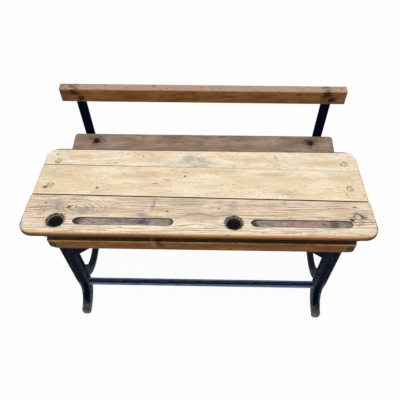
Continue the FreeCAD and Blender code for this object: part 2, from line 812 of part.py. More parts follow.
# Iron brackets between the front panel and the ink board, and plates on the rail.
bracket_places = (("left", d.box_shift - bracket_line), ("centre", d.box_shift),
                  ("right", d.box_shift + bracket_line))
BRACKET_SCREW_LENGTH = 13
BRACKET_SCREW_HEIGHTS = (20, 60)
PLATE_SCREW_LENGTH = 13
PLATE_SCREW_OFFSET = 7


def bracket_screw_points():
    front = panel_front - d.bracket_thickness
    return [point(x, front, rail_top + height)
            for name, x in bracket_places for height in BRACKET_SCREW_HEIGHTS]


def plate_screw_points():
    front = rail_front - d.plate_thickness
    height = rail_low + d.plate_rise + d.plate_size / 2
    return [point(side * plate_line + d.box_shift + shift, front, height)
            for name, side in SIDES for shift in (-PLATE_SCREW_OFFSET, PLATE_SCREW_OFFSET)]


def wall_holes(points, length):
    return [rod(place, Vector(0, 1, 0), WALL_SCREW_RADIUS + clearance, length + clearance) for place in points]


def wall_screws(label, points, length):
    solids = []
    for place in points:
        screw = dome_bolt(WALL_SCREW_HEAD_RADIUS, WALL_SCREW_HEAD_HEIGHT, WALL_SCREW_RADIUS, length)
        solids.append(turned(screw, facing(place, Vector(0, -1, 0))))
    return keep(group(label, solids))


def make_bracket(name, x):
    body = new_body(f"{name}_bracket_body")
    front = panel_front - d.bracket_thickness
    tip = panel_front - d.bracket_reach
    sole = d.top_thickness
    heel = d.top_thickness + d.bracket_thickness
    profile = [(panel_front, rail_top), (panel_front, wood_under(panel_front, sole)),
               (tip, wood_under(tip, sole)), (tip, wood_under(tip, heel)),
               (front, wood_under(front, heel)), (front, rail_top)]
    add_pad(body, new_sketch(body, "YZ", [profile], lift=x), d.bracket_width, symmetric=True)
    holes = [place for place in bracket_screw_points() if abs(place.x - float(x)) < float(d.bracket_width)]
    return keep(cut_from(f"ink_board_{name}_bracket", body, wall_holes(holes, BRACKET_SCREW_LENGTH)))


def make_plate(name, side):
    plate = doc.addObject("Part::Box", f"{name}_plate_blank")
    bind(plate, Length=d.plate_size, Width=d.plate_thickness, Height=d.plate_size)
    set_base(plate, side * plate_line + d.box_shift - d.plate_size / 2, rail_front - d.plate_thickness,
             rail_low + d.plate_rise)
    holes = [place for place in plate_screw_points() if place.x * side > 0]
    return keep(cut_from(f"rail_{name}_plate", plate, wall_holes(holes, PLATE_SCREW_LENGTH)))


# Book box.
def make_front_rail():
    body = new_body("front_rail_body")
    left = d.box_shift - half_box + d.rail_inset
    right = d.box_shift + half_box - d.rail_inset
    large = d.rail_corner
    small = d.rail_small_corner
    outline = [(right - small, rail_low), (right, rail_low + small, small, 1), (right, rail_top),
               (left, rail_top), (left, rail_low + large), (left + large, rail_low, large, 1)]
    add_pad(body, new_sketch(body, "XZ", [outline], lift=-panel_front), d.rail_thickness)

    def face_edge(edge, middle):
        return all(abs(vertex.Y - float(rail_front)) < TOLERANCE for vertex in edge.Vertexes)

    add_fillet(body, d.rail_edge_radius, face_edge)
    return keep(cut_from("front_rail", body, wall_holes(plate_screw_points(), PLATE_SCREW_LENGTH)))


def wall_profile(front, back, drop):
    return [(front, box_floor_height), (back, box_floor_height), (back, wood_under(back, drop)),
            (front, wood_under(front, drop))]


def make_box():
    panel = new_body("box_front_panel_body")
    profile = wall_profile(panel_front, panel_back, d.top_thickness)
    add_pad(panel, new_sketch(panel, "YZ", [profile], lift=d.box_shift), box_length, symmetric=True)
    holes = wall_holes(bracket_screw_points(), BRACKET_SCREW_LENGTH)
    holes += [screw_hole(x, s) for x, s in ink_screw_places]
    keep(cut_from("box_front_panel", panel, holes))

    back = new_body("box_back_panel")
    profile = wall_profile(back_panel_front, back_panel_rear, d.top_thickness + d.rest_clearance)
    add_pad(back, new_sketch(back, "YZ", [profile], lift=d.box_shift), box_length, symmetric=True)
    keep(back)

    for name, side in SIDES:
        end = new_body(f"box_{name}_end")
        profile = wall_profile(panel_back, back_panel_front, d.top_thickness + cleat_thickness)
        middle = side * (half_box - d.panel_thickness / 2) + d.box_shift
        add_pad(end, new_sketch(end, "YZ", [profile], lift=middle), d.panel_thickness, symmetric=True)
        keep(end)

    floor = doc.addObject("Part::Box", "box_floor_board")
    bind(floor, Length=end_inner * 2, Width=back_panel_front - panel_back, Height=d.box_floor_thickness)
    set_base(floor, d.box_shift - end_inner, panel_back, box_floor_height)
    keep(cut_from("box_floor", floor, box_screw_holes()))


# Screws up through the cast arms into the floor of the box.
BOX_SCREW_PLACES = (70, 220)
BOX_SCREW_OFFSET = 13
BOX_SCREW_GRIP = 10


def box_screw_points():
    under = box_floor_height - d.flange_thickness
    return [point(side * (standard_line - BOX_SCREW_OFFSET), panel_back + place, under)
            for name, side in SIDES for place in BOX_SCREW_PLACES]


def box_screw_holes():
    length = float(d.flange_thickness) + BOX_SCREW_GRIP + clearance
    return [rod(place, Vector(0, 0, 1), SCREW_RADIUS + clearance, length) for place in box_screw_points()]


def make_box_screws():
    solids = []
    length = float(d.flange_thickness) + BOX_SCREW_GRIP
    for place in box_screw_points():
        screw = dome_bolt(SCREW_HEAD_RADIUS, SCREW_HEAD_HEIGHT, SCREW_RADIUS, length)
        solids.append(turned(screw, facing(place, Vector(0, 0, -1))))
    return keep(group("box_screws", solids))


# Cast ends: one casting carries the box, the foot rail, the seat and the upright.
toe_tip = d.toe_setback - half_depth
toe_flat = d.toe_height - d.toe_nose
front_bend = d.toe_height + d.foot_sweep
rear_sweep = half_depth - d.toe_nose - bench_rear
rear_bend = d.toe_height + rear_sweep
box_arm_low = box_floor_height - d.arm_thickness
seat_arm_low = seat_under - d.arm_thickness


def desk_leg():
    # Side view of the front foot, the desk post and the arm under the box.
    heel = d.heel_sweep
    return [(toe_tip, toe_flat, d.toe_nose, 1), (toe_tip, 0), (post_back - heel, 0), (post_back, heel, heel, 1),
            *desk_recess(0)[1:6], (post_front, front_bend),
            (toe_tip + d.toe_nose, d.toe_height, d.foot_sweep, -1)]


def desk_recess(inset):
    # The same post and arm inside the metal, down to where the foot is solid.
    return [(post_back - inset, front_bend), (post_back - inset, box_arm_low - box_brace),
            (post_back + box_brace, box_arm_low + inset, box_brace + inset, -1),
            (box_arm_end - inset, box_arm_low + inset), (box_arm_end - inset, box_floor_height - inset),
            (post_front + inset, box_floor_height - inset), (post_front + inset, front_bend)]


def bench_leg():
    # Side view of the rear foot, the bench post and the arm under the seat.
    heel = d.rear_heel_sweep
    return [(bench_front + heel, 0, heel, 1), (half_depth, 0), (half_depth, toe_flat),
            (half_depth - d.toe_nose, d.toe_height, d.toe_nose, 1), (bench_rear, rear_bend, rear_sweep, -1),
            *bench_recess(0)[1:6], (bench_front, heel)]


def bench_recess(inset):
    return [(bench_rear - inset, rear_bend), (bench_rear - inset, seat_under - inset),
            (seat_arm_start + inset, seat_under - inset), (seat_arm_start + inset, seat_arm_low + inset),
            (bench_front - d.seat_brace, seat_arm_low + inset),
            (bench_front + inset, seat_arm_low - d.seat_brace, d.seat_brace + inset, -1),
            (bench_front + inset, rear_bend)]


def runner():
    # The swept bar that joins the two posts near the floor, thick where it leaves the desk post.
    thickness = d.runner_thickness
    low = d.runner_top - thickness
    haunch = post_back + d.haunch_depth
    desk_turn = d.runner_top + d.desk_sweep
    bench_turn = d.runner_top + d.bench_sweep
    under_start = post_back - thickness
    bench_end = bench_front - d.bench_sweep
    return [(under_start, low + d.desk_under_sweep), (under_start + d.desk_under_sweep, low, d.desk_under_sweep, 1),
            (bench_end, low), (bench_front + thickness, bench_turn, d.bench_sweep + thickness, 1),
            (bench_front, bench_turn), (bench_end, d.runner_top, d.bench_sweep, -1),
            (haunch + d.desk_sweep, d.runner_top), (haunch, desk_turn, d.desk_sweep, -1),
            (under_start, desk_turn + d.haunch_rise)]


def make_standard(name, side):
    body = new_body(f"{name}_standard_body")
    inward = -side
    add_pad(body, new_sketch(body, "YZ", [runner()]), d.runner_width, symmetric=True)
    metal = d.flange_thickness
    for outline, recess in ((desk_leg, desk_recess), (bench_leg, bench_recess)):
        add_pad(body, new_sketch(body, "YZ", [outline(), recess(metal)]), d.flange_width, symmetric=True)
        add_pad(body, new_sketch(body, "YZ", [recess(metal / 2)]), d.web_thickness, symmetric=True)
    taper_flanges(body)
    round_toes(body)
    sink_channel(body)
    add_wing(body, inward)
    add_lugs(body, inward)
    set_base(body, side * standard_line, 0, 0)
    doc.recompute()
    holes = foot_bolt_holes(side) + upright_bolt_holes(side)
    holes += [hole for hole in box_screw_holes() if hole.BoundBox.Center.x * side > 0]
    return keep(cut_from(f"{name}_standard", body, holes))


def taper_flanges(body):
    # Both sides draw in from the full flange to the narrow toe.
    toe = d.toe_width / 2
    wide = d.flange_width
    wedges = []
    for side in (-1, 1):
        wedges.append([(side * toe, -wide), (side * toe, 0), (side * half_flange, d.taper_height),
                       (side * wide, d.taper_height), (side * wide, -wide)])
    add_pocket(body, new_sketch(body, "XZ", wedges), d.footprint_depth * 2, symmetric=True)


def round_toes(body):
    # Waste outside the rounded corners of both toes.
    half = d.toe_width / 2 + (half_flange - d.toe_width / 2) * d.toe_height / d.taper_height
    radius = d.toe_corner
    waste = d.flange_width
    corners = []
    for side in (-1, 1):
        for tip, back in ((toe_tip, 1), (half_depth, -1)):
            corners.append([(side * (half - radius), tip - back * waste), (side * waste, tip - back * waste),
                            (side * waste, tip + back * radius), (side * half, tip + back * radius),
                            (side * (half - radius), tip, radius, -side * back)])
    add_pocket(body, new_sketch(body, "XY", corners), d.toe_height * 4, symmetric=True)


def sink_channel(body):
    # A sunk face down the front of the leg, between two raised edges.
    depth = d.channel_depth
    start = toe_tip + d.toe_nose
    head = wing_root_height
    strip = [(post_front, head), (post_front + depth, head), (post_front + depth, front_bend),
             (start, d.toe_height - depth, d.foot_sweep + depth, -1), (start, d.toe_height),
             (post_front, front_bend, d.foot_sweep, 1)]
    add_pocket(body, new_sketch(body, "YZ", [strip]), d.channel_width, symmetric=True)


def add_wing(body, inward):
    # A curved blade from the post up and inwards to the underside of the box.
    top = box_floor_height
    root = -inward * d.wing_overlap
    blade = [(inward * d.wing_reach, top), (inward * d.wing_head, top),
             (root, wing_root_height, d.wing_curve, -inward)]
    face = d.wing_proud - d.wing_thickness - post_front
    add_pad(body, new_sketch(body, "XZ", [blade], lift=face), d.wing_thickness)
    ledge = rectangle(as_size(0), top - d.flange_thickness, inward * d.wing_reach, top)
    add_pad(body, new_sketch(body, "XZ", [ledge], lift=-post_back), d.post_depth)


def add_lugs(body, inward):
    # Round-ended lugs that take the seat bolts, beside the seat arm.
    radius = d.lug_radius
    reach = standard_line - seat_bolt_line
    lugs = []
    for y in (seat_bolt_rear, seat_bolt_front):
        lugs.append([(as_size(0), y - radius), (inward * reach, y - radius),
                     (inward * (reach + radius), y, radius, inward),
                     (inward * reach, y + radius, radius, inward), (as_size(0), y + radius)])
    holes = [(inward * reach, y, BOLT_RADIUS + d.hole_clearance) for y in (seat_bolt_rear, seat_bolt_front)]
    add_pad(body, new_sketch(body, "XY", lugs, holes, lift=seat_under), d.lug_thickness, backward=True)


# Foot rail: angle iron behind the front flanges of the posts.
FOOT_BOLT_LENGTH = 18
FOOT_BOLT_HEAD = 5
FOOT_BOLT_CROWN = 2.5
FOOT_NUT_HEIGHT = 4.5
SMALL_NUT_FLATS = 10
foot_rail_back = post_front + d.flange_thickness + d.foot_rail_thickness


def foot_bolt_points():
    height = d.foot_rail_height + d.foot_rail_upright / 2
    return [point(side * (standard_line - d.foot_bolt_offset), post_front, height) for name, side in SIDES]


def foot_bolt_holes(side):
    return [rod(place, Vector(0, 1, 0), SMALL_BOLT_RADIUS + clearance, FOOT_BOLT_LENGTH)
            for place in foot_bolt_points() if place.x * side > 0]


def make_foot_rail():
    body = new_body("foot_rail_body")
    low = d.foot_rail_height
    flange = foot_rail_back - d.foot_rail_thickness
    stand = rectangle(flange, low, foot_rail_back, low + d.foot_rail_upright)
    tread = rectangle(foot_rail_back - d.foot_rail_tread, low, foot_rail_back, low + d.foot_rail_thickness)
    half_length = standard_line - d.web_thickness / 2 - d.rest_clearance
    half_tread = standard_line - half_flange - d.rest_clearance
    add_pad(body, new_sketch(body, "YZ", [stand]), half_length * 2, symmetric=True)
    add_pad(body, new_sketch(body, "YZ", [tread]), half_tread * 2, symmetric=True)
    keep(cut_from("foot_rail", body, foot_bolt_holes(-1) + foot_bolt_holes(1)))
    bolts = []
    nuts = []
    for place in foot_bolt_points():
        bolt = dome_bolt(FOOT_BOLT_HEAD, FOOT_BOLT_CROWN, SMALL_BOLT_RADIUS, FOOT_BOLT_LENGTH)
        bolts.append(turned(bolt, facing(place, Vector(0, -1, 0))))
        nut = hex_nut(SMALL_NUT_FLATS, FOOT_NUT_HEIGHT, SMALL_BOLT_RADIUS + clearance)
        behind = Vector(place.x, float(foot_rail_back), place.z)
        nuts.append(turned(nut, facing(behind, Vector(0, 1, 0))))
    keep(group("foot_rail_bolts", bolts))
    keep(group("foot_rail_nuts", nuts))


# Bench: seat plank, flat uprights and back rail.
SEAT_HEAD_RADIUS = 12.5
SEAT_HEAD_HEIGHT = 4.5
SEAT_NUT_FLATS = 16
SEAT_NUT_HEIGHT = 7
BOLT_SPARE = 4
UPRIGHT_BOLT_LENGTH = 25
UPRIGHT_BOLT_HEIGHTS = (28, 68)
UPRIGHT_BOLT_OFFSETS = (-13, 13)
UPRIGHT_NUT_HEIGHT = 5
BACK_HEAD_RADIUS = 9
BACK_HEAD_HEIGHT = 3
# Side, offset from the upright's middle line, distance below the top of the back rail.
BACK_BOLTS = ((-1, -8, 16), (-1, 13, 44), (1, -11, 16), (1, 6, 40))


def make_seat():
    body = new_body("seat_plank_body")
    half = standard_line + d.seat_overhang
    front = seat_front
    radius = d.seat_corner
    outline = [(half - radius, front), (half, front + radius, radius, 1), (half, seat_rear - radius),
               (half - radius, seat_rear, radius, 1), (radius - half, seat_rear),
               (-half, seat_rear - radius, radius, 1), (-half, front + radius),
               (radius - half, front, radius, 1)]
    add_pad(body, new_sketch(body, "XY", [outline], lift=d.seat_height), d.seat_thickness, backward=True)

    def level_edge(edge, middle):
        return at_height(edge, float(d.seat_height)) or at_height(edge, float(seat_under))

    add_fillet(body, d.seat_round, level_edge)
    holes = [rod(place, Vector(0, 0, -1), BOLT_RADIUS + clearance, d.seat_thickness)
             for place in seat_bolt_points()]
    keep(cut_from("seat_plank", body, holes))
    bolts = []
    nuts = []
    length = float(d.seat_thickness + d.lug_thickness) + SEAT_NUT_HEIGHT + BOLT_SPARE
    for place in seat_bolt_points():
        bolt = dome_bolt(SEAT_HEAD_RADIUS, SEAT_HEAD_HEIGHT, BOLT_RADIUS, length)
        bolts.append(turned(bolt, facing(place, Vector(0, 0, 1))))
        nut = hex_nut(SEAT_NUT_FLATS, SEAT_NUT_HEIGHT, BOLT_RADIUS + clearance)
        below = Vector(place.x, place.y, float(seat_under - d.lug_thickness))
        nuts.append(turned(nut, facing(below, Vector(0, 0, -1))))
    keep(group("seat_bolts", bolts))
    keep(group("seat_nuts", nuts))


def seat_bolt_points():
    return [point(side * seat_bolt_line, y, d.seat_height)
            for name, side in SIDES for y in (seat_bolt_front, seat_bolt_rear)]


def upright_bolt_points(side):
    rear = bench_rear + d.upright_thickness
    return [point(side * standard_line + shift, rear, upright_foot + height)
            for height, shift in zip(UPRIGHT_BOLT_HEIGHTS, UPRIGHT_BOLT_OFFSETS)]


def upright_bolt_holes(side):
    return [rod(place, Vector(0, -1, 0), SMALL_BOLT_RADIUS + clearance, UPRIGHT_BOLT_LENGTH)
            for place in upright_bolt_points(side)]


def back_frame():
    # Origin at the bend of the uprights, on their front face, leaning with them.
    return Placement(point(0, bench_rear, upright_kink), Rotation(Vector(1, 0, 0), -float(d.back_angle)))


def back_bolt_places(wanted):
    top = float(back_height - upright_kink)
    line = float(upright_line)
    return [(side * line + shift, top - drop) for side, shift, drop in BACK_BOLTS if side == wanted]


def back_bolt_holes(side):
    length = float(d.back_rail_thickness + d.upright_thickness)
    holes = []
    for x, height in back_bolt_places(side):
        origin = Vector(x, -float(d.back_rail_thickness), height)
        hole = rod(origin, Vector(0, 1, 0), SMALL_BOLT_RADIUS + clearance, length)
        hole.Placement = back_frame().multiply(hole.Placement)
        holes.append(hole)
    return holes


def make_upright(name, side):
    body = new_body(f"{name}_back_upright_body")
    front = bench_rear
    rear = bench_rear + d.upright_thickness
    rise = back_height - upright_kink - d.back_round
    rear_rise = rise - d.upright_thickness
    lean = tangent(d.back_angle)
    profile = [(front, upright_foot), (rear, upright_foot), (rear, upright_kink),
               (rear + rear_rise * lean, upright_kink + rear_rise), (front + rise * lean, upright_kink + rise),
               (front, upright_kink)]
    add_pad(body, new_sketch(body, "YZ", [profile], lift=side * upright_line), d.upright_width, symmetric=True)
    return keep(cut_from(f"{name}_back_upright", body, upright_bolt_holes(side) + back_bolt_holes(side)))


def make_back_rail():
    rail = new_body("back_rail_body")
    top = back_height - upright_kink
    profile = rectangle(-d.back_rail_thickness, top - d.back_rail_height, as_size(0), top)
    add_pad(rail, new_sketch(rail, "YZ", [profile]), (upright_line + d.back_overhang) * 2, symmetric=True)

    def front_edge(edge, middle):
        ahead = abs(middle.y + float(d.back_rail_thickness)) < TOLERANCE
        upper = abs(middle.z - float(top)) < TOLERANCE
        rear = abs(middle.y) < TOLERANCE
        return ahead or (upper and not rear)

    add_fillet(rail, d.back_round, front_edge)
    rail.Placement = back_frame()
    rail.setExpression("Placement.Rotation.Angle", f"-{d.back_angle.formula}")
    set_base(rail, as_size(0), bench_rear, upright_kink)
    doc.recompute()
    keep(cut_from("back_rail", rail, back_bolt_holes(-1) + back_bolt_holes(1)))


def make_back_bolts():
    bolts = []
    nuts = []
    grip = float(d.back_rail_thickness + d.upright_thickness)
    length = grip + UPRIGHT_NUT_HEIGHT + BOLT_SPARE
    for x, height in back_bolt_places(-1) + back_bolt_places(1):
        bolt = dome_bolt(BACK_HEAD_RADIUS, BACK_HEAD_HEIGHT, SMALL_BOLT_RADIUS, length)
        front = facing(Vector(x, -float(d.back_rail_thickness), height), Vector(0, -1, 0))
        bolts.append(turned(bolt, back_frame().multiply(front)))
        nut = hex_nut(SMALL_NUT_FLATS, UPRIGHT_NUT_HEIGHT, SMALL_BOLT_RADIUS + clearance)
        behind = facing(Vector(x, float(d.upright_thickness), height), Vector(0, 1, 0))
        nuts.append(turned(nut, back_frame().multiply(behind)))
    keep(group("back_rail_bolts", bolts))
    keep(group("back_rail_nuts", nuts))


def make_upright_bolts():
    bolts = []
    nuts = []
    inside = float(bench_rear - d.flange_thickness)
    for name, side in SIDES:
        for place in upright_bolt_points(side):
            bolt = dome_bolt(FOOT_BOLT_HEAD, FOOT_BOLT_CROWN, SMALL_BOLT_RADIUS, UPRIGHT_BOLT_LENGTH)
            bolts.append(turned(bolt, facing(place, Vector(0, 1, 0))))
            nut = hex_nut(SMALL_NUT_FLATS, UPRIGHT_NUT_HEIGHT, SMALL_BOLT_RADIUS + clearance)
            nuts.append(turned(nut, facing(Vector(place.x, inside, place.z), Vector(0, -1, 0))))
    keep(group("upright_bolts", bolts))
    keep(group("upright_nuts", nuts))


make_top()
make_hinges()
make_front_rail()
make_box()
make_box_screws()
for bracket_name, bracket_x in bracket_places:
    make_bracket(bracket_name, bracket_x)
wall_screws("bracket_screws", bracket_screw_points(), BRACKET_SCREW_LENGTH)
for side_name, side_sign in SIDES:
    make_plate(side_name, side_sign)
    make_standard(side_name, side_sign)
    make_upright(side_name, side_sign)
wall_screws("rail_plate_screws", plate_screw_points(), PLATE_SCREW_LENGTH)
make_foot_rail()
make_seat()
make_upright_bolts()
make_back_rail()
make_back_bolts()
doc.recompute()

for obj in doc.Objects:
    if "Invalid" in obj.State or "Error" in obj.State:
        raise RuntimeError(f"{obj.Label} failed: {obj.State}")
for node in nodes:
    if node.Shape.isNull() or not node.Shape.isValid() or not node.Shape.Solids:
        raise RuntimeError(f"{node.Label} has no valid solid")

os.makedirs("parts", exist_ok=True)
for node in nodes:
    node.Shape.exportStep(f"parts/{node.Label}.step")
    print(node.Label, len(node.Shape.Solids), "solids", round(node.Shape.Volume), "mm3")
print(len(nodes), "nodes")
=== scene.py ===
import json
import math

import bmesh
import bpy
from mathutils import Matrix, Vector


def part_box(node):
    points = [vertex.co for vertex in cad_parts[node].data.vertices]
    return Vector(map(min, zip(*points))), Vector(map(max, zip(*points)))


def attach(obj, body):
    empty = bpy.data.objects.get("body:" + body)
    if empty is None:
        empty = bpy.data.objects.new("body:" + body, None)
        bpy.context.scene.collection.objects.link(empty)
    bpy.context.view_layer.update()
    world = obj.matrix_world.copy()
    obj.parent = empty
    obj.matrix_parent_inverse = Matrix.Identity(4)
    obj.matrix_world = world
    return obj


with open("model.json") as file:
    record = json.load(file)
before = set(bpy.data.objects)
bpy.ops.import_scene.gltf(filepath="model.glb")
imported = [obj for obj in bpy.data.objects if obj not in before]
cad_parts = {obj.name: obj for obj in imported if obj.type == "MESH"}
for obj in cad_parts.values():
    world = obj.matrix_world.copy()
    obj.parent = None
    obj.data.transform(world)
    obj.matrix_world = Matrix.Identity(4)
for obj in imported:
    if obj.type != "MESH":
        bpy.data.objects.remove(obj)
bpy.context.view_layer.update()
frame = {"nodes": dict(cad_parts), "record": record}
scene = bpy.context.scene
mm = 0.001


def linear(hexText):
    channels = [int(hexText[i:i + 2], 16) / 255 for i in (1, 3, 5)]
    return [c / 12.92 if c <= 0.04045 else ((c + 0.055) / 1.055) ** 2.4 for c in channels] + [1.0]


def addNode(tree, kind, inputs=None, out=0, **settings):
    # inputs holds a socket to link or a value to set, by name or number
    node = tree.nodes.new("ShaderNode" + kind)
    for name, value in settings.items():
        setattr(node, name, value)
    for key, value in (inputs or {}).items():
        if isinstance(value, bpy.types.NodeSocket):
            tree.links.new(value, node.inputs[key])
        else:
            node.inputs[key].default_value = value
    if out is None:
        return node
    return node.outputs[out] if len(node.outputs) else node


def newMaterial(name):
    material = bpy.data.materials.new(name)
    material.use_nodes = True
    material.node_tree.nodes.clear()
    return material, material.node_tree


def finishWith(material, *names):
    for name in names:
        mesh = frame["nodes"][name].data
        mesh.materials.clear()
        mesh.materials.append(material)


# Camera: fitted to the edges of the top, the legs, the seat and the back rail in the photograph.
# Its place is in metres, its angles are in degrees, lens and sensor in mm.
cameraView = {
    "location": (0.04214, -1.02768, 1.87787), "pitch": 55.93, "yaw": -1.339, "roll": 0.299,
    "lens": 41.967, "sensor": 36.0, "shift": (-0.01599, 0.0035),
}


def makeCamera(view):
    pitch, yaw, roll = (math.radians(view[k]) for k in ("pitch", "yaw", "roll"))
    ahead = Vector((math.sin(yaw) * math.cos(pitch), math.cos(yaw) * math.cos(pitch), -math.sin(pitch)))
    level = Vector((math.cos(yaw), -math.sin(yaw), 0))
    down = ahead.cross(level)
    right = math.cos(roll) * level + math.sin(roll) * down
    up = math.sin(roll) * level - math.cos(roll) * down
    data = bpy.data.cameras.new("photoCamera")
    data.lens = view["lens"]
    data.sensor_width = view["sensor"]
    data.shift_x, data.shift_y = view["shift"]
    camera = bpy.data.objects.new("photoCamera", data)
    turn = Matrix((right, up, -ahead)).transposed()
    camera.matrix_world = Matrix.Translation(view["location"]) @ turn.to_4x4()
    scene.collection.objects.link(camera)
    scene.camera = camera


makeCamera(cameraView)
scene.view_settings.view_transform = "Standard"
print("camera set")

# Stage: pale floor that the camera sees as white, with a faint shadow left on it
stageLook = {
    "floorSize": 16.0, "floor": "#F0EFEC", "white": 0.95, "sky": "#F8F9FF", "skyLight": 0.6,
    "boxPlace": (0.1, -0.7, 3.3), "boxSize": 2.6, "boxPower": 47.0, "boxAim": (0.0, -0.05, 0.5),
}


def seenDirectly(tree):
    # camera, mirror and glass rays see the white background, other rays the real floor
    path = addNode(tree, "LightPath", out=None)
    sharp = addNode(tree, "Math", {0: path.outputs["Is Glossy Ray"],
                                   1: path.outputs["Is Transmission Ray"]}, operation="MAXIMUM")
    return addNode(tree, "Math", {0: path.outputs["Is Camera Ray"], 1: sharp}, operation="MAXIMUM")


def makeStage(look):
    size = look["floorSize"] / 2
    mesh = bpy.data.meshes.new("studioFloor")
    corners = [(-size, -size, 0), (size, -size, 0), (size, size, 0), (-size, size, 0)]
    mesh.from_pydata(corners, [], [(0, 1, 2, 3)])
    floor = bpy.data.objects.new("studioFloor", mesh)
    scene.collection.objects.link(floor)
    material, tree = newMaterial("paleStudioFloor")
    paper = addNode(tree, "BsdfDiffuse", {"Color": linear(look["floor"])})
    glow = addNode(tree, "Emission", {"Color": (1, 1, 1, 1), "Strength": 1.0})
    share = addNode(tree, "Math", {0: seenDirectly(tree), 1: look["white"]}, operation="MULTIPLY")
    mixed = addNode(tree, "MixShader", {0: share, 1: paper, 2: glow})
    addNode(tree, "OutputMaterial", {"Surface": mixed})
    mesh.materials.append(material)

    world = bpy.data.worlds.new("softStudio")
    scene.world = world
    world.use_nodes = True
    tree = world.node_tree
    tree.nodes.clear()
    light = addNode(tree, "Background", {"Color": linear(look["sky"]), "Strength": look["skyLight"]})
    white = addNode(tree, "Background", {"Color": (1, 1, 1, 1), "Strength": 1.0})
    mixed = addNode(tree, "MixShader", {0: seenDirectly(tree), 1: light, 2: white})
    addNode(tree, "OutputWorld", {"Surface": mixed})

    data = bpy.data.lights.new("overheadSoftbox", "AREA")
    data.size = look["boxSize"]
    data.energy = look["boxPower"]
    lamp = bpy.data.objects.new("overheadSoftbox", data)
    lamp.location = look["boxPlace"]
    aim = Vector(look["boxAim"]) - lamp.location
    lamp.rotation_euler = aim.to_track_quat("-Z", "Y").to_euler()
    scene.collection.objects.link(lamp)


makeStage(stageLook)
print("stage lit")

# Places of the grain: x along the board, y across its face, z square to it, all in mm.
# The top's place follows from the lid hinge, which lies at a known point of the top.
topSlope = math.radians(10)
gapSkew = math.tan(math.radians(0.81))  # the joints between the top's boards run askew by this
hingeInTop = Vector((0, 151.4, -2.7)) * mm
hingePoint = Vector(frame["record"]["behaviour"]["joints"][0]["pos_m"])
topOrigin = hingePoint - Matrix.Rotation(-topSlope, 3, "X") @ hingeInTop
topPlace = {"location": topOrigin, "rotation": (-topSlope, 0, 0)}
standingPlace = {"location": (0, 0, 0), "rotation": (math.radians(90), 0, 0)}
levelPlace = {"location": (0, 0, 0), "rotation": (0, 0, 0)}


def boardSpace(tree, place):
    raw = addNode(tree, "TexCoord", out="Object")
    return addNode(tree, "Mapping", {"Vector": raw, "Location": place["location"],
                                     "Rotation": place["rotation"], "Scale": (mm, mm, mm)},
                   vector_type="TEXTURE")


# In all looks below, a cloud is its length, width and depth in mm, its seed and its detail.
# A stain is its colour, the value where it starts, the value where it is full, and its strength.
# A patch is the size of its cloud and its stain. A range is where something starts and where it is full.
cloudGrain = {"shift": (1.0, 0.37, 0.11), "roughness": 0.62, "detail": 3.0}


def cloudOf(tree, coords, size, seed, detail=cloudGrain["detail"]):
    # noise in patches of one size, which the seed moves elsewhere
    scaled = addNode(tree, "Mapping", {"Vector": coords,
                                       "Location": [seed * step for step in cloudGrain["shift"]],
                                       "Scale": [1 / step for step in size]})
    return addNode(tree, "TexNoise", {"Vector": scaled, "Scale": 1.0, "Detail": detail,
                                      "Roughness": cloudGrain["roughness"]})


def maskWhere(tree, value, start, full, strength=1.0, within=None):
    # rises from nothing at the start to its strength where it is full, and stays within another mask
    mask = addNode(tree, "MapRange", {"Value": value, "From Min": start, "From Max": full,
                                      "To Max": strength}, interpolation_type="SMOOTHSTEP")
    if within is None:
        return mask
    return addNode(tree, "Math", {0: mask, 1: within}, operation="MULTIPLY")


def stainWhere(tree, colour, value, stain, within=None):
    hexText, start, full, strength = stain
    mask = maskWhere(tree, value, start, full, strength, within)
    return addNode(tree, "Mix", {0: mask, 6: colour, 7: linear(hexText)}, out=2, data_type="RGBA")


markEdge = {"cloud": ((24, 5, 5), 31.0, 5.0), "ragged": 2.4, "start": 2.25, "full": 1.5,
            "depth": 1000.0}  # deep enough to go through any board


def awayFrom(tree, coords, centre, radii, turn=0.0):
    # distance from a point in a board's face, 1 on an oval round it, and the face seen from there
    local = addNode(tree, "Mapping", {"Vector": coords, "Location": (*centre, 0),
                                      "Rotation": (0, 0, math.radians(turn)),
                                      "Scale": (*radii, markEdge["depth"])}, vector_type="TEXTURE")
    return addNode(tree, "VectorMath", {0: local}, out="Value", operation="LENGTH"), local


def addMarks(tree, coords, colour, marks):
    # a ragged edge along the grain keeps the marks from looking printed
    cloud = cloudOf(tree, coords, *markEdge["cloud"])
    for x, y, long, wide, turn, strength, hexText in marks:
        away = awayFrom(tree, coords, (x, y), (long, wide), turn)[0]
        away = addNode(tree, "Math", {0: cloud, 1: markEdge["ragged"], 2: away}, operation="MULTIPLY_ADD")
        colour = stainWhere(tree, colour, away, (hexText, markEdge["start"], markEdge["full"], strength))
    return colour


knotRings = {"bentSize": (64, 26, 26), "bentDetail": 4.0, "bend": 22.0, "tornSize": (34, 12, 12),
             "tornSeed": 3.0, "tear": 1.6, "fadeRange": (1.8, 1.2), "lineRange": (0.1, 0.9)}


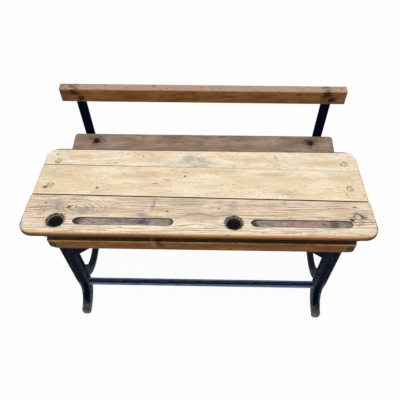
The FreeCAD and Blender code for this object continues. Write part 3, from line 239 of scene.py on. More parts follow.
def addRings(tree, coords, colour, rings):
    # growth rings that show round a knot, torn by the grain and fading to one side
    for ring in rings:
        away = awayFrom(tree, coords, ring["at"], ring["reach"])[0]
        bent = cloudOf(tree, coords, knotRings["bentSize"], ring["seed"], knotRings["bentDetail"])
        phase = addNode(tree, "Math", {0: away, 1: ring["count"] * 2 * math.pi}, operation="MULTIPLY")
        phase = addNode(tree, "Math", {0: bent, 1: knotRings["bend"], 2: phase}, operation="MULTIPLY_ADD")
        wave = addNode(tree, "Math", {0: phase}, operation="SINE")
        torn = cloudOf(tree, coords, knotRings["tornSize"], ring["seed"] + knotRings["tornSeed"])
        fade = addNode(tree, "Math", {0: torn, 1: knotRings["tear"], 2: away}, operation="MULTIPLY_ADD")
        fade = maskWhere(tree, fade, *knotRings["fadeRange"])
        stain = (ring["colour"], *knotRings["lineRange"], ring["strength"])
        colour = stainWhere(tree, colour, wave, stain, fade)
    return colour


# Pine: sawn along the trunk, so its summer wood shows as long lines that draw together at the knots.
# The short dashes are resin ducts, drawn wider than the real 1 mm so that they show.
pineGrain = {
    "driftSize": (420, 110, 110), "driftDetail": 2.0, "toneRange": (0.36, 0.64), "patchSeed": 2.3,
    "wobbleSize": (180, 14, 14), "wobbleSeed": 5.7, "wobbleDetail": 2.0,
    "patchySize": (230, 24, 24), "patchySeed": 8.2, "patchyRange": (0.38, 0.56), "lineRange": (0.2, 1.0),
    "dashSeed": 11.4, "dashDetail": 4.0, "dashRange": (0.55, 0.72),
    "arris": 1.2, "arrisSamples": 4, "bump": 0.6, "ior": 1.5,
}


def grainSpace(tree, coords, look):
    # the grain wanders along the board and draws together or parts at its knots
    drift = cloudOf(tree, coords, pineGrain["driftSize"], look["seed"], pineGrain["driftDetail"])
    drift = addNode(tree, "MapRange", {"Value": drift, "To Min": -look["wander"], "To Max": look["wander"]})
    axes = addNode(tree, "SeparateXYZ", {0: coords}, out=None)
    across = addNode(tree, "Math", {0: axes.outputs["Y"], 1: drift}, operation="ADD")
    for bend in look.get("bends", ()):
        away, local = awayFrom(tree, coords, bend["at"], bend["reach"])
        fade = maskWhere(tree, away, 1.0, 0.0, bend["push"])
        side = addNode(tree, "SeparateXYZ", {0: local}, out="Y")
        across = addNode(tree, "Math", {0: fade, 1: side, 2: across}, operation="MULTIPLY_ADD")
    grain = addNode(tree, "CombineXYZ", {0: axes.outputs["X"], 1: across, 2: axes.outputs["Z"]})
    return grain, across, axes


def pineFigure(tree, coords, look):
    # soft mottles of cream and tan, summer lines that run with the grain, short dark dashes
    grain, across, axes = grainSpace(tree, coords, look)
    seed = look["seed"]
    tone = maskWhere(tree, cloudOf(tree, grain, look["toneSize"], seed), *pineGrain["toneRange"])
    colour = addNode(tree, "Mix", {0: tone, 6: linear(look["pale"]), 7: linear(look["tan"])}, out=2,
                     data_type="RGBA")
    if "lower" in look:  # the front of the ink board is rubbed paler by sleeves
        colour = stainWhere(tree, colour, axes.outputs["Y"], look["lower"])
    for size, *stain in look["patches"]:
        seed += pineGrain["patchSeed"]
        colour = stainWhere(tree, colour, cloudOf(tree, grain, size, seed), stain)
    wobble = cloudOf(tree, grain, pineGrain["wobbleSize"], seed + pineGrain["wobbleSeed"],
                     pineGrain["wobbleDetail"])
    phase = addNode(tree, "Math", {0: wobble, 1: look["lineWobble"]}, operation="MULTIPLY")
    phase = addNode(tree, "Math", {0: across, 1: 2 * math.pi / look["lineSpacing"], 2: phase},
                    operation="MULTIPLY_ADD")
    ridge = addNode(tree, "Math", {0: phase}, operation="SINE")
    patchy = cloudOf(tree, grain, pineGrain["patchySize"], seed + pineGrain["patchySeed"])
    patchy = maskWhere(tree, patchy, *pineGrain["patchyRange"])
    lines = maskWhere(tree, ridge, *pineGrain["lineRange"], look["lines"], patchy)
    colour = addNode(tree, "Mix", {0: lines, 6: colour, 7: linear(look["lineColour"])}, out=2,
                     data_type="RGBA")
    thin = cloudOf(tree, grain, look["dashSize"], seed + pineGrain["dashSeed"], pineGrain["dashDetail"])
    dashes = maskWhere(tree, thin, *pineGrain["dashRange"], look["dashes"])
    colour = addNode(tree, "Mix", {0: dashes, 6: colour, 7: linear(look["dashColour"])}, out=2,
                     data_type="RGBA")
    relief = addNode(tree, "Math", {0: lines, 1: dashes}, operation="ADD")
    return colour, relief, axes


def woodShader(tree, colour, relief, look):
    rounded = addNode(tree, "Bevel", {"Radius": pineGrain["arris"] * mm}, samples=pineGrain["arrisSamples"])
    bump = addNode(tree, "Bump", {"Strength": pineGrain["bump"], "Distance": look["depth"] * mm,
                                  "Height": relief, "Normal": rounded}, invert=True)
    shader = addNode(tree, "BsdfPrincipled", {"Base Color": colour, "Roughness": look["roughness"],
                                              "Normal": bump, "IOR": pineGrain["ior"],
                                              "Specular IOR Level": look["gloss"]})
    addNode(tree, "OutputMaterial", {"Surface": shader})


# Desk top: bare pine, scrubbed and bleached, so dry and matt, with grey stains and summer lines.
# A mark is its place, half length, half width and turn, strength and colour.
lidFrontLook = {
    "name": "bleachedPineLidFront", "seed": 1.7, "wander": 7.0, "pale": "#FBEBCC", "tan": "#F0D9B4",
    "roughness": 0.75, "depth": 0.3, "gloss": 0.06, "toneSize": (150, 34, 34),
    "lineSpacing": 6.4, "lineWobble": 11.0, "lines": 0.4, "lineColour": "#C9A67C",
    "dashSize": (15, 3.2, 3.2), "dashes": 0.85, "dashColour": "#A58562",
    "patches": [((260, 80, 80), "#E4CEA8", 0.48, 0.60, 0.5), ((110, 34, 34), "#E6DABD", 0.50, 0.66, 0.6),
                ((70, 24, 24), "#E4C096", 0.54, 0.70, 0.5), ((90, 5, 5), "#D0AF86", 0.54, 0.70, 0.45),
                ((46, 20, 20), "#CDC4AE", 0.56, 0.70, 0.55), ((5, 4, 4), "#8E7556", 0.64, 0.74, 0.7)],
    "bends": [{"at": (-260, 232), "reach": (120, 26), "push": -9}],
    "marks": [(-497, 189, 11, 7, 20, 1.0, "#3A2E2C"), (-474, 200, 9, 6, 0, 0.5, "#8F8F96"),
              (-328, 189, 6, 6, 0, 0.9, "#6A4F46"), (-328, 172, 24, 14, 0, 0.35, "#B5B1A4"),
              (-50, 247, 5, 8, 0, 0.85, "#716E6A"), (-48, 268, 14, 5, 0, 0.6, "#948D80"),
              (-106, 229, 18, 8, -20, 0.6, "#979C9C"), (-143, 212, 14, 2.6, 0, 0.8, "#80664A"),
              (-232, 212, 20, 2.4, 0, 0.6, "#967A5A"), (-250, 258, 9, 3, 0, 0.6, "#98795E"),
              (-170, 256, 70, 22, 0, 0.35, "#CFAC82"), (232, 262, 70, 10, 0, 0.4, "#BE9B74"),
              (275, 178, 56, 18, 0, 0.45, "#C0A382"), (484, 202, 10, 7, 0, 0.6, "#83838E"),
              (466, 172, 2.8, 22, 14, 0.5, "#A07C62"), (520, 167, 4, 4, 0, 0.9, "#765840"),
              (110, 212, 8, 2.5, 0, 0.7, "#86694C"), (-420, 236, 80, 30, 10, 0.3, "#DDB88A")],
    "plugs": [(-482, 199.5), (482, 199.5)],
}
lidRearLook = dict(
    lidFrontLook, name="bleachedPineLidRear", seed=6.3, pale="#FFF2D7", tan="#F6E3C2", bends=[],
    marks=[(-39, 337, 30, 30, 0, 0.5, "#90959A"), (22, 312, 40, 18, 0, 0.45, "#A2A8A6"),
           (-4, 300, 60, 9, 0, 0.5, "#8F9496"), (-150, 322, 140, 14, -3, 0.35, "#C6C0AC"),
           (-494, 351, 7, 4, 0, 0.9, "#74555A"), (-290, 312, 7, 3, 0, 0.8, "#846654"),
           (-196, 346, 4, 6, 0, 0.7, "#7C7B60"), (256, 347, 8, 13, 0, 0.55, "#9C9A7E"),
           (430, 322, 66, 30, 0, 0.4, "#D4B080"), (180, 335, 110, 22, 0, 0.35, "#D3B48E"),
           (-420, 338, 90, 16, 6, 0.4, "#D9B486"), (80, 285, 60, 2.6, 0, 0.7, "#5E564C")],
    plugs=[(-482, 316.5), (482, 316.5), (0, 330.5)])
inkBoardLook = dict(
    lidFrontLook, name="bleachedPineInkBoard", seed=12.9, wander=9.0, pale="#F9E6C8", tan="#E9D1B0",
    lower=("#FFEFD2", 74.0, 36.0, 0.7), lineSpacing=7.0, lines=0.7, lineColour="#8F745C",
    dashes=0.75, dashColour="#7F6A58",
    patches=[((130, 26, 26), "#DCCDB8", 0.48, 0.66, 0.5), ((90, 22, 22), "#E2BA96", 0.54, 0.70, 0.55),
             ((110, 5, 5), "#A98B70", 0.50, 0.66, 0.75), ((60, 18, 18), "#A9A49E", 0.58, 0.72, 0.6),
             ((6, 4, 4), "#7A644E", 0.64, 0.74, 0.7)],
    bends=[{"at": (-399, 103), "reach": (110, 50), "push": -26},
           {"at": (-6, 72), "reach": (110, 58), "push": 34},
           {"at": (486, 66), "reach": (70, 40), "push": -18},
           {"at": (-428, 46), "reach": (80, 44), "push": -12},
           {"at": (107, 46), "reach": (80, 44), "push": -12}],
    rings=[{"at": (-372, 104), "reach": (112, 60), "count": 6, "strength": 0.55, "colour": "#8A7668",
            "seed": 4.0},
           {"at": (490, 58), "reach": (70, 30), "count": 3, "strength": 0.45, "colour": "#8A7762",
            "seed": 7.0}],
    marks=[(-432, 114, 34, 30, 0, 0.5, "#8E9196"), (-352, 92, 34, 20, 0, 0.55, "#8C8A8C"),
           (-399, 103, 14, 10, 0, 0.7, "#957060"), (-399, 104, 6, 6, 0, 0.85, "#5A3D34"),
           (-140, 116, 8, 34, -10, 0.6, "#7E8490"), (-95, 89, 5.5, 4.5, 0, 0.95, "#74512F"),
           (-172, 74, 22, 11, 0, 0.65, "#7C808E"), (-479, 83, 13, 6, 0, 0.85, "#645F6A"),
           (-476, 120, 6, 4, 0, 0.85, "#5A4A3F"), (-500, 100, 40, 3.4, 3, 0.6, "#8D7164"),
           (-470, 92, 70, 3.4, 4, 0.55, "#917668"), (-20, 78, 40, 4.4, 10, 0.7, "#74747A"),
           (20, 79, 40, 4, -16, 0.6, "#7E756C"), (62, 106, 5.5, 4.5, 0, 0.9, "#664332"),
           (105, 116, 18, 30, 0, 0.5, "#979694"), (265, 130, 18, 12, 0, 0.5, "#9DA2A2"),
           (481, 118, 11, 5, 0, 0.8, "#5C5E64"), (484, 80, 26, 19, 0, 0.8, "#4E4B47"),
           (462, 65, 11, 9, 0, 0.95, "#423F3A"), (490, 78, 30, 14, -8, 0.7, "#6A6A6A"),
           (484, 47, 18, 7, 20, 0.6, "#8A806A"), (200, 118, 140, 14, 0, 0.4, "#B39A80"),
           (-30, 130, 70, 22, 0, 0.4, "#B2A28E"), (15, 84, 110, 50, 0, 0.35, "#B9A58C"),
           (330, 26, 70, 5, 0, 0.4, "#A98F72"), (-438, 20, 44, 8, 0, 0.45, "#A39284")],
    plugs=[(481.5, 78)])

# Edges and underside of the top: orange-brown old varnish on the edges, darker lower down, at the ends, the
# left and the rear
# The browner lower edge and the dark underside are partly old varnish and partly painted shade under the
# overhang.
edgeLook = {
    "chipCloud": ((46, 8, 12), 14.0, 4.0), "speckCloud": ((9, 3.5, 3.5), 26.0, 4.0), "wear": 14.0,
    "worn": ("#D2A274", 16.0, 6.0, 0.4), "tan": "#CE9A66", "tanRange": (-0.3, -4.0), "tanShare": 0.92,
    "speck": ("#6A4426", 0.54, 0.68, 0.75), "chip": ("#7A4E28", 0.56, 0.68, 0.75),
    "brown": ("#80552F", -4.0, -11.0, 0.95), "dark": ("#3E2815", -11.0, -20.0, 0.95),
    "underRange": (-22.4, -23.4), "streakCloud": ((140, 9, 9), 36.0, 4.0),
    "streak": ("#73502C", 0.44, 0.66, 0.75), "poreCloud": ((60, 3.5, 6), 38.0, 4.0),
    "pore": ("#22150A", 0.52, 0.66, 0.7),
    "belowRange": (-2.5, -7.0), "end": ("#4A3220", 440.0, 520.0, 0.75),
    "left": ("#573D26", 60.0, -200.0, 0.5), "rear": ("#46332A", 374.5, 377.5, 0.85),
}


def addEdgeVarnishAndShade(tree, coords, axes, colour, look):
    along, across, height = (axes.outputs[axis] for axis in "XYZ")
    chip = cloudOf(tree, coords, *look["chipCloud"])
    near = addNode(tree, "Math", {0: chip, 1: look["wear"], 2: across}, operation="MULTIPLY_ADD")
    colour = stainWhere(tree, colour, near, look["worn"])
    varnish = maskWhere(tree, height, *look["tanRange"], look["tanShare"])
    colour = addNode(tree, "Mix", {0: varnish, 6: colour, 7: linear(look["tan"])}, out=2, data_type="RGBA")
    speck = cloudOf(tree, coords, *look["speckCloud"])
    colour = stainWhere(tree, colour, speck, look["speck"], varnish)
    colour = stainWhere(tree, colour, chip, look["chip"], varnish)
    # browner, then dark, down the edge and under the top: old varnish with painted shade of the overhang
    colour = stainWhere(tree, colour, height, look["brown"])
    colour = stainWhere(tree, colour, height, look["dark"])
    under = maskWhere(tree, height, *look["underRange"])
    colour = stainWhere(tree, colour, cloudOf(tree, coords, *look["streakCloud"]), look["streak"], under)
    colour = stainWhere(tree, colour, cloudOf(tree, coords, *look["poreCloud"]), look["pore"], under)
    end = addNode(tree, "Math", {0: along}, operation="ABSOLUTE")
    start, full = look["belowRange"]
    below = addNode(tree, "MapRange", {"Value": height, "From Min": start, "From Max": full})
    colour = stainWhere(tree, colour, end, look["end"], below)
    colour = stainWhere(tree, colour, along, look["left"], below)
    return stainWhere(tree, colour, across, look["rear"])


# Joints of the top: the open gap of the lid, black with dirt inside, and the butt joint of the lid boards.
# Their arrises are rubbed pale.
gapLook = {"inkEdge": 148.6, "lidEdge": 154.2, "arris": "#FBEED2", "arrisReach": (4.5, 1.5),
           "arrisShare": 0.6, "insideReach": (1.6, 0.8), "dark": ("#4A3B30", -1.2, -4.0, 0.97)}
seamLook = {"at": 291.0, "arris": ("#FBEED2", 285.0, 288.5, 0.6), "line": ("#4A3C34", 2.6, 0.9, 0.95),
            "cloud": ((50, 50, 50), 17.0, 4.0), "broken": 900.0, "clearRange": (560.0, 0.0), "least": 0.3}


def skewLevel(tree, axes):
    # y across the top, but square to the askew joints
    return addNode(tree, "Math", {0: axes.outputs["X"], 1: gapSkew, 2: axes.outputs["Y"]},
                   operation="MULTIPLY_ADD")


def addGapGrime(tree, axes, colour, edge, side, look):
    level = skewLevel(tree, axes)
    start, full = (edge + side * step for step in look["arrisReach"])
    colour = stainWhere(tree, colour, level, (look["arris"], start, full, look["arrisShare"]))
    start, full = (edge + side * step for step in look["insideReach"])
    inside = addNode(tree, "MapRange", {"Value": level, "From Min": start, "From Max": full})
    return stainWhere(tree, colour, axes.outputs["Z"], look["dark"], inside)


def addSeam(tree, coords, axes, colour, side, look):
    # a thin dark line, clearest at the left, with its rubbed arris in front of it
    level = skewLevel(tree, axes)
    if side < 0:
        colour = stainWhere(tree, colour, level, look["arris"])
    away = addNode(tree, "Math", {0: level, 1: look["at"]}, operation="SUBTRACT")
    away = addNode(tree, "Math", {0: away}, operation="ABSOLUTE")
    cloud = cloudOf(tree, coords, *look["cloud"])
    clear = addNode(tree, "Math", {0: cloud, 1: look["broken"], 2: axes.outputs["X"]},
                    operation="MULTIPLY_ADD")
    start, full = look["clearRange"]
    clear = addNode(tree, "MapRange", {"Value": clear, "From Min": start, "From Max": full,
                                       "To Min": look["least"]})
    return stainWhere(tree, colour, away, look["line"], clear)


# Plug joints: dirt has gone into them in places
plugRing = {"cloud": ((9, 9, 9), 8.0), "brokenRange": (0.45, 0.55), "least": 0.08, "radius": 13.4,
            "dirt": ("#584B43", 1.0, 0.86, 0.95)}


def addPlugRings(tree, coords, colour, places, look):
    start, full = look["brokenRange"]
    broken = addNode(tree, "MapRange", {"Value": cloudOf(tree, coords, *look["cloud"]), "From Min": start,
                                        "From Max": full, "To Min": look["least"]})
    for place in places:
        away = awayFrom(tree, coords, place, (look["radius"], look["radius"]))[0]
        colour = stainWhere(tree, colour, away, look["dirt"], broken)
    return colour


# Pen grooves: ink and dirt have turned the wood slate, purple-grey and brown
grooveLook = {
    "floor": "#B0A096", "mottle": "#76675F", "mottleCloud": ((40, 9, 12), 2.2, 4.0),
    "mottleRange": (0.46, 0.62), "mottleShare": 0.6,
    "dashCloud": ((16, 3, 3), 41.0, 4.0), "dash": ("#544A45", 0.50, 0.64, 0.8),
    "crumbCloud": ((5, 4, 4), 44.0), "crumb": ("#CFC4BC", 0.62, 0.74, 0.7),
    # lip and wall: darker towards the near side and up the walls, dirt with painted shade of the hollow
    "lip": ("#66523F", 41.0, 37.0, 0.75), "wall": ("#5A4C42", -6.6, -4.0, 0.5),
    "sunkRange": (-0.4, -1.2), "nearRange": (28.0, 31.0), "farRange": (67.0, 64.0),
    "stains": [(-372, 47, 26, 30, 0, 1.0, "#43454C"), (-210, 53, 90, 10, 0, 0.55, "#5E5C60"),
               (-168, 51, 34, 14, 0, 0.8, "#4A4D57"), (-112, 47, 30, 30, 0, 0.7, "#8E8870"),
               (-78, 47, 14, 30, 0, 0.9, "#4C463E"), (166, 47, 20, 30, 0, 1.0, "#3E3F44"),
               (330, 47, 90, 30, 0, 0.7, "#B08C7A"), (408, 47, 22, 30, 0, 0.85, "#5A4F4C"),
               (450, 47, 16, 30, 0, 0.6, "#6A5F58")],
}


def addGrooves(tree, coords, axes, colour, look):
    across, height = axes.outputs["Y"], axes.outputs["Z"]
    blotch = cloudOf(tree, coords, *look["mottleCloud"])
    start, full = look["mottleRange"]
    tone = addNode(tree, "MapRange", {"Value": blotch, "From Min": start, "From Max": full,
                                      "To Max": look["mottleShare"]})
    floor = addNode(tree, "Mix", {0: tone, 6: linear(look["floor"]), 7: linear(look["mottle"])}, out=2,
                    data_type="RGBA")
    floor = addMarks(tree, coords, floor, look["stains"])
    floor = stainWhere(tree, floor, cloudOf(tree, coords, *look["dashCloud"]), look["dash"])
    floor = stainWhere(tree, floor, cloudOf(tree, coords, *look["crumbCloud"]), look["crumb"])
    # darker on the near side and up the walls: dirt and painted shade of the hollow
    floor = stainWhere(tree, floor, across, look["lip"])
    floor = stainWhere(tree, floor, height, look["wall"])
    start, full = look["sunkRange"]
    sunk = addNode(tree, "MapRange", {"Value": height, "From Min": start, "From Max": full})
    for start, full in (look["nearRange"], look["farRange"]):
        inside = addNode(tree, "MapRange", {"Value": across, "From Min": start, "From Max": full})
        sunk = addNode(tree, "Math", {0: sunk, 1: inside}, operation="MULTIPLY")
    return addNode(tree, "Mix", {0: sunk, 6: colour, 7: floor}, out=2, data_type="RGBA")


# Inkwells: the rebates are grimy, with painted shade on their near side; the bore is painted black and darker
# downwards, old ink with painted shade of the hole.
# A zone is the circle that it starts from, how far it lies outside that, the share of its radius
# where it is full, its strength and its tone.
wellLook = {
    "places": (-428, 107), "line": 47.5, "rim": 27.5, "bore": 21.0, "rebate": "#7A736C", "hole": "#090706",
    "ring": "#2B2725", "scorch": "#6A5E54", "bored": ("#3A332E", -19.0, -11.0, 1.0),
    "zones": [("rim", 9.0, 0.74, 0.65, "scorch"), ("rim", 2.4, 0.93, 0.9, "ring"),
              ("rim", -0.3, 0.97, 1.0, "rebate"), ("bore", 1.4, 0.94, 1.0, "ring"),
              ("bore", 0.4, 0.97, 1.0, "hole")],
    "cloud": ((12, 9, 9), 19.0, 4.0), "ragged": 0.5, "drawnIn": 0.22,
    "shadeReach": (4, -14), "shade": 0.9,
}


def addWells(tree, coords, axes, colour, look):
    cloud = cloudOf(tree, coords, *look["cloud"])
    start, full = (look["line"] + step for step in look["shadeReach"])
    near = addNode(tree, "MapRange", {"Value": axes.outputs["Y"], "From Min": start, "From Max": full})
    for x in look["places"]:
        for circle, outside, soft, strength, tone in look["zones"]:
            radius = look[circle] + outside
            away = awayFrom(tree, coords, (x, look["line"]), (radius, radius))[0]
            if radius > look["rim"]:
                away = addNode(tree, "Math", {0: cloud, 1: look["ragged"], 2: away}, operation="MULTIPLY_ADD")
                away = addNode(tree, "Math", {0: away, 1: look["drawnIn"]}, operation="SUBTRACT")
            mask = maskWhere(tree, away, 1.0, soft, strength)
            colour = addNode(tree, "Mix", {0: mask, 6: colour, 7: linear(look[tone])}, out=2,
                             data_type="RGBA")
            if tone == "rebate":
                colour = stainWhere(tree, colour, near, (look["ring"], 0.0, 1.0, look["shade"]), mask)
        # darker down the bore: old ink and painted shade of the hole
        colour = stainWhere(tree, colour, axes.outputs["Z"], look["bored"], mask)  # within the hole
    return colour


def topBoard(look, node):
    material, tree = newMaterial(look["name"])
    coords = boardSpace(tree, topPlace)
    colour, relief, axes = pineFigure(tree, coords, look)
    colour = addRings(tree, coords, colour, look.get("rings", ()))
    colour = addMarks(tree, coords, colour, look["marks"])
    colour = addPlugRings(tree, coords, colour, look["plugs"], plugRing)
    if node != "ink_board":
        colour = addSeam(tree, coords, axes, colour, -1 if node == "lid_front_board" else 1, seamLook)
    colour = addEdgeVarnishAndShade(tree, coords, axes, colour, edgeLook)
    if node == "lid_front_board":
        colour = addGapGrime(tree, axes, colour, gapLook["lidEdge"], 1, gapLook)
    if node == "ink_board":
        colour = addGapGrime(tree, axes, colour, gapLook["inkEdge"], -1, gapLook)
        colour = addGrooves(tree, coords, axes, colour, grooveLook)
        colour = addWells(tree, coords, axes, colour, wellLook)
    woodShader(tree, colour, relief, look)
    finishWith(material, node)


topBoard(lidFrontLook, "lid_front_board")
topBoard(lidRearLook, "lid_rear_board")
topBoard(inkBoardLook, "ink_board")
print("desk top finished")

# Plugs: pine with the grain turned, so mottled, and grey with dirt
plugLook = dict(lidFrontLook, name="pineScrewPlug", seed=21.0, pale="#E2CDAE", tan="#AE9C88", bends=[],
                toneSize=(9, 9, 9), depth=0.2)


def makePlugs(look):
    material, tree = newMaterial(look["name"])
    coords = boardSpace(tree, topPlace)
    colour, relief = pineFigure(tree, coords, look)[:2]
    woodShader(tree, colour, relief, look)
    finishWith(material, "lid_plugs", "ink_board_plugs")


makePlugs(plugLook)
print("plugs finished")

# Rails: pine under old brown varnish, dull, rubbed thin and lighter along the arrises, with a painted
# highlight there too
railLook = {
    "name": "varnishedPineRail", "seed": 3.3, "wander": 5.0, "pale": "#90602F", "tan": "#78491C",
    "roughness": 0.6, "depth": 0.2, "gloss": 0.1, "toneSize": (110, 24, 24),
    "lineSpacing": 6.0, "lineWobble": 8.0, "lines": 0.4, "lineColour": "#543316",
    "dashSize": (60, 2.8, 2.8), "dashes": 0.6, "dashColour": "#4A2C10",
    "patches": [((60, 20, 20), "#5E3A16", 0.54, 0.68, 0.6), ((150, 9, 9), "#A8743A", 0.54, 0.68, 0.6),
                ((34, 14, 14), "#40280F", 0.60, 0.70, 0.6)],
    # the dark upward face of the front rail is painted shade under the top; the last mark lightens it towards
    # the right
    "arris": "#C9A06C", "upwardShadeAndWear": "#35210F", "fleck": "#3E2712",
    "marks": [(-128, 560, 14, 40, 12, 0.85, "#2C1B0C"), (-150, 560, 6, 40, 12, 0.5, "#B98A5C"),
              (-520, 560, 14, 40, 0, 0.8, "#2B2722"), (300, 560, 3, 40, -14, 0.7, "#3A220D"),
              (260, 574, 420, 14, 0, 0.8, "#4E3119")],
}
backRailLook = dict(
    railLook, name="varnishedPineBackRail", seed=9.1, pale="#9A683A", tan="#81532A", lines=0.3,
    arris="#B08A66", upwardShadeAndWear="#B89A86", fleck="#6A4C3A",
    marks=[(-481, 668, 28, 24, 0, 0.9, "#2B1A10"), (-459, 640, 24, 22, 0, 0.9, "#2E1C11"),
           (462, 666, 28, 24, 0, 0.9, "#2B1A10"), (480, 645, 26, 22, 0, 0.9, "#2E1C11"),
           (450, 655, 20, 34, 0, 0.6, "#3A2413"), (-524, 650, 40, 60, 0, 0.5, "#4A3019")])

# Front panel: the same varnish, grimy and nearly without gloss, with black patches under the wells as painted
# shadow seen through them
panelLook = dict(
    railLook, name="grimyVarnishedPanel", seed=24.8, pale="#8F6030", tan="#74491F", gloss=0.04,
    patches=[((110, 30, 30), "#4C3118", 0.50, 0.68, 0.55), ((60, 20, 20), "#3A2512", 0.56, 0.72, 0.5),
             ((140, 10, 10), "#A06E38", 0.54, 0.68, 0.5)],
    marks=[], run=("#06060A", 1.0, 0.4, 1.0), runs=[(-444, 658), (106, 658)], wellShadowSize=(50, 104))

# Seat: varnish worn off by sitting, so grey-brown, dry, and black round the bolts
seatLook = dict(
    railLook, name="wornPineSeat", seed=15.5, pale="#B0957F", tan="#957C6A", roughness=0.7,
    lineColour="#6E5846", dashSize=(26, 3.2, 3.2), dashes=0.8, dashColour="#5C4A3D",
    patches=[((90, 30, 30), "#86705C", 0.50, 0.68, 0.5), ((120, 6, 6), "#C2AA94", 0.52, 0.68, 0.6),
             ((40, 16, 16), "#665446", 0.58, 0.70, 0.7), ((5, 5, 5), "#D6C4B2", 0.66, 0.76, 0.7)],
    marks=[(-440, 249, 44, 34, 0, 0.85, "#40322B"), (440, 249, 44, 34, 0, 0.85, "#40322B"),
           (410, 258, 90, 20, 0, 0.6, "#5A4A40"), (440, 268, 60, 16, 0, 0.7, "#4C3E38")])

# Box, battens and cleats: hidden from the light, so the varnish stayed dark and even
boxLook = dict(
    railLook, name="darkVarnishedPine", seed=19.2, pale="#4A3119", tan="#38240F", lineColour="#2B1A0B",
    dashColour="#241507", patches=[((60, 20, 20), "#2E1C0C", 0.54, 0.68, 0.6)], marks=[])
boxNodes = ["box_back_panel", "box_left_end", "box_right_end", "box_floor", "lid_left_batten",
            "lid_centre_batten", "lid_right_batten", "ink_board_left_cleat", "ink_board_right_cleat"]

# Wear and painted light of the rails: heights are in mm below the top face, facings are 1 straight up
railWearAndShading = {"tornCloud": ((60, 10, 10), 33.0, 4.0), "tornRange": (0.36, 0.56), "arrisBelow": (7.0, 3.0),
            "arrisShare": 0.75, "slopeRange": (0.2, 0.6), "slopeShare": 0.85, "upRange": (0.75, 0.92),
            "upShare": 0.9, "fleckCloud": ((16, 4, 5), 27.0, 4.0), "fleckRange": (0.54, 0.68),
            "fleckShare": 0.75}


def addRailWearAndShading(tree, coords, colour, look, top, wear):
    # arrises are rubbed lighter, with a painted highlight where they turn up; on the front rail what faces up
    # is painted dark as shade under the top, on the back rail it is worn lighter
    height = addNode(tree, "SeparateXYZ", {0: coords}, out="Y")
    start, full = wear["tornRange"]
    torn = addNode(tree, "MapRange", {"Value": cloudOf(tree, coords, *wear["tornCloud"]),
                                      "From Min": start, "From Max": full})
    start, full = (top - below for below in wear["arrisBelow"])
    colour = stainWhere(tree, colour, height, (look["arris"], start, full, wear["arrisShare"]), torn)
    normal = addNode(tree, "NewGeometry", out="Normal")
    up = addNode(tree, "SeparateXYZ", {0: normal}, out="Z")
    colour = stainWhere(tree, colour, up, (look["arris"], *wear["slopeRange"], wear["slopeShare"]))
    colour = stainWhere(tree, colour, up, (look["upwardShadeAndWear"], *wear["upRange"], wear["upShare"]))
    fleck = cloudOf(tree, coords, *wear["fleckCloud"])
    return stainWhere(tree, colour, fleck, (look["fleck"], *wear["fleckRange"], wear["fleckShare"]))


def varnishedBoard(look, place, nodes, rubbed=False):
    material, tree = newMaterial(look["name"])
    coords = boardSpace(tree, place)
    colour, relief = pineFigure(tree, coords, look)[:2]
    if rubbed:
        colour = addRailWearAndShading(tree, coords, colour, look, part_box(nodes[0])[1][2] / mm, railWearAndShading)
    colour = addMarks(tree, coords, colour, look["marks"])
    # black patches where the wells look through onto the panel: painted shadow
    for well in look.get("runs", ()):
        away = awayFrom(tree, coords, well, look["wellShadowSize"])[0]
        colour = stainWhere(tree, colour, away, look["run"])
    woodShader(tree, colour, relief, look)
    finishWith(material, *nodes)


varnishedBoard(railLook, standingPlace, ["front_rail"], rubbed=True)
varnishedBoard(panelLook, standingPlace, ["box_front_panel"])
varnishedBoard(backRailLook, standingPlace, ["back_rail"], rubbed=True)
varnishedBoard(seatLook, levelPlace, ["seat_plank"])
varnishedBoard(boxLook, standingPlace, boxNodes)
print("rails, seat and box finished")

# Cast ends: sand-cast iron under navy-black enamel, dull, worn grey along the edges, the grey made strong as
# a painted highlight on the edges.
# Stains of the rim, channel and wing go by the distance from the middle of a leg's width.
castLook = {
    "name": "navyEnamelCastIron", "enamel": "#050A16", "mottle": "#0A1226", "worn": "#56606C", "grit": 1.6,
    "roughness": 0.55, "gloss": 0.012, "metal": 0.0, "chips": 0.8, "middle": 476.5,
    "rubbedCloud": ((18, 18, 40), 6.0, 4.0), "rubbedRange": (0.36, 0.58), "footRange": (230.0, 90.0),
    "onPost": 0.1, "legRange": (27.0, 25.0), "rim": ("#4C555F", 10.5, 13.0, 1.0),
    "channel": ("#060C1E", 12.5, 10.5, 0.9), "wing": ("#080D20", 25.0, 28.0, 0.9),
    "runner": ("#242B34", 0.35, 0.8, 0.9), "runnerRange": (-228.0, -212.0),
    "scuffCloud": ((14, 14, 14), 12.0, 5.0), "scuff": -44.0, "toe": ("#7A7977", 6.0, -14.0, 0.85),
}

# Back uprights: flat bar under the same enamel, out of reach of shoes, so blacker and hardly worn
barLook = {"name": "navyEnamelBar", "enamel": "#050822", "mottle": "#080E24", "worn": "#2A3040",
           "grit": 2.5, "roughness": 0.55, "gloss": 0.012, "metal": 0.0, "chips": 0.4}

# Foot rail: angle iron under the same enamel, bluer where it is thin, chipped to blue-grey by shoes, with a
# painted highlight along its top and front edge
footRailLook = {
    "name": "chippedEnamelFootRail", "enamel": "#0D1A40", "mottle": "#182850", "worn": "#7C8694",
    "grit": 2.5, "roughness": 0.5, "gloss": 0.15, "metal": 0.0, "chips": 0.9,
    "scrapeCloud": ((40, 6, 6), 5.0, 5.0), "scrapeRange": (0.36, 0.56), "least": 0.4,
    "front": "#8D99AC", "frontReach": (11.0, 4.0), "frontShare": 0.95,
    "top": "#878B95", "topBelow": (7.0, 2.0), "topShare": 0.85,
}

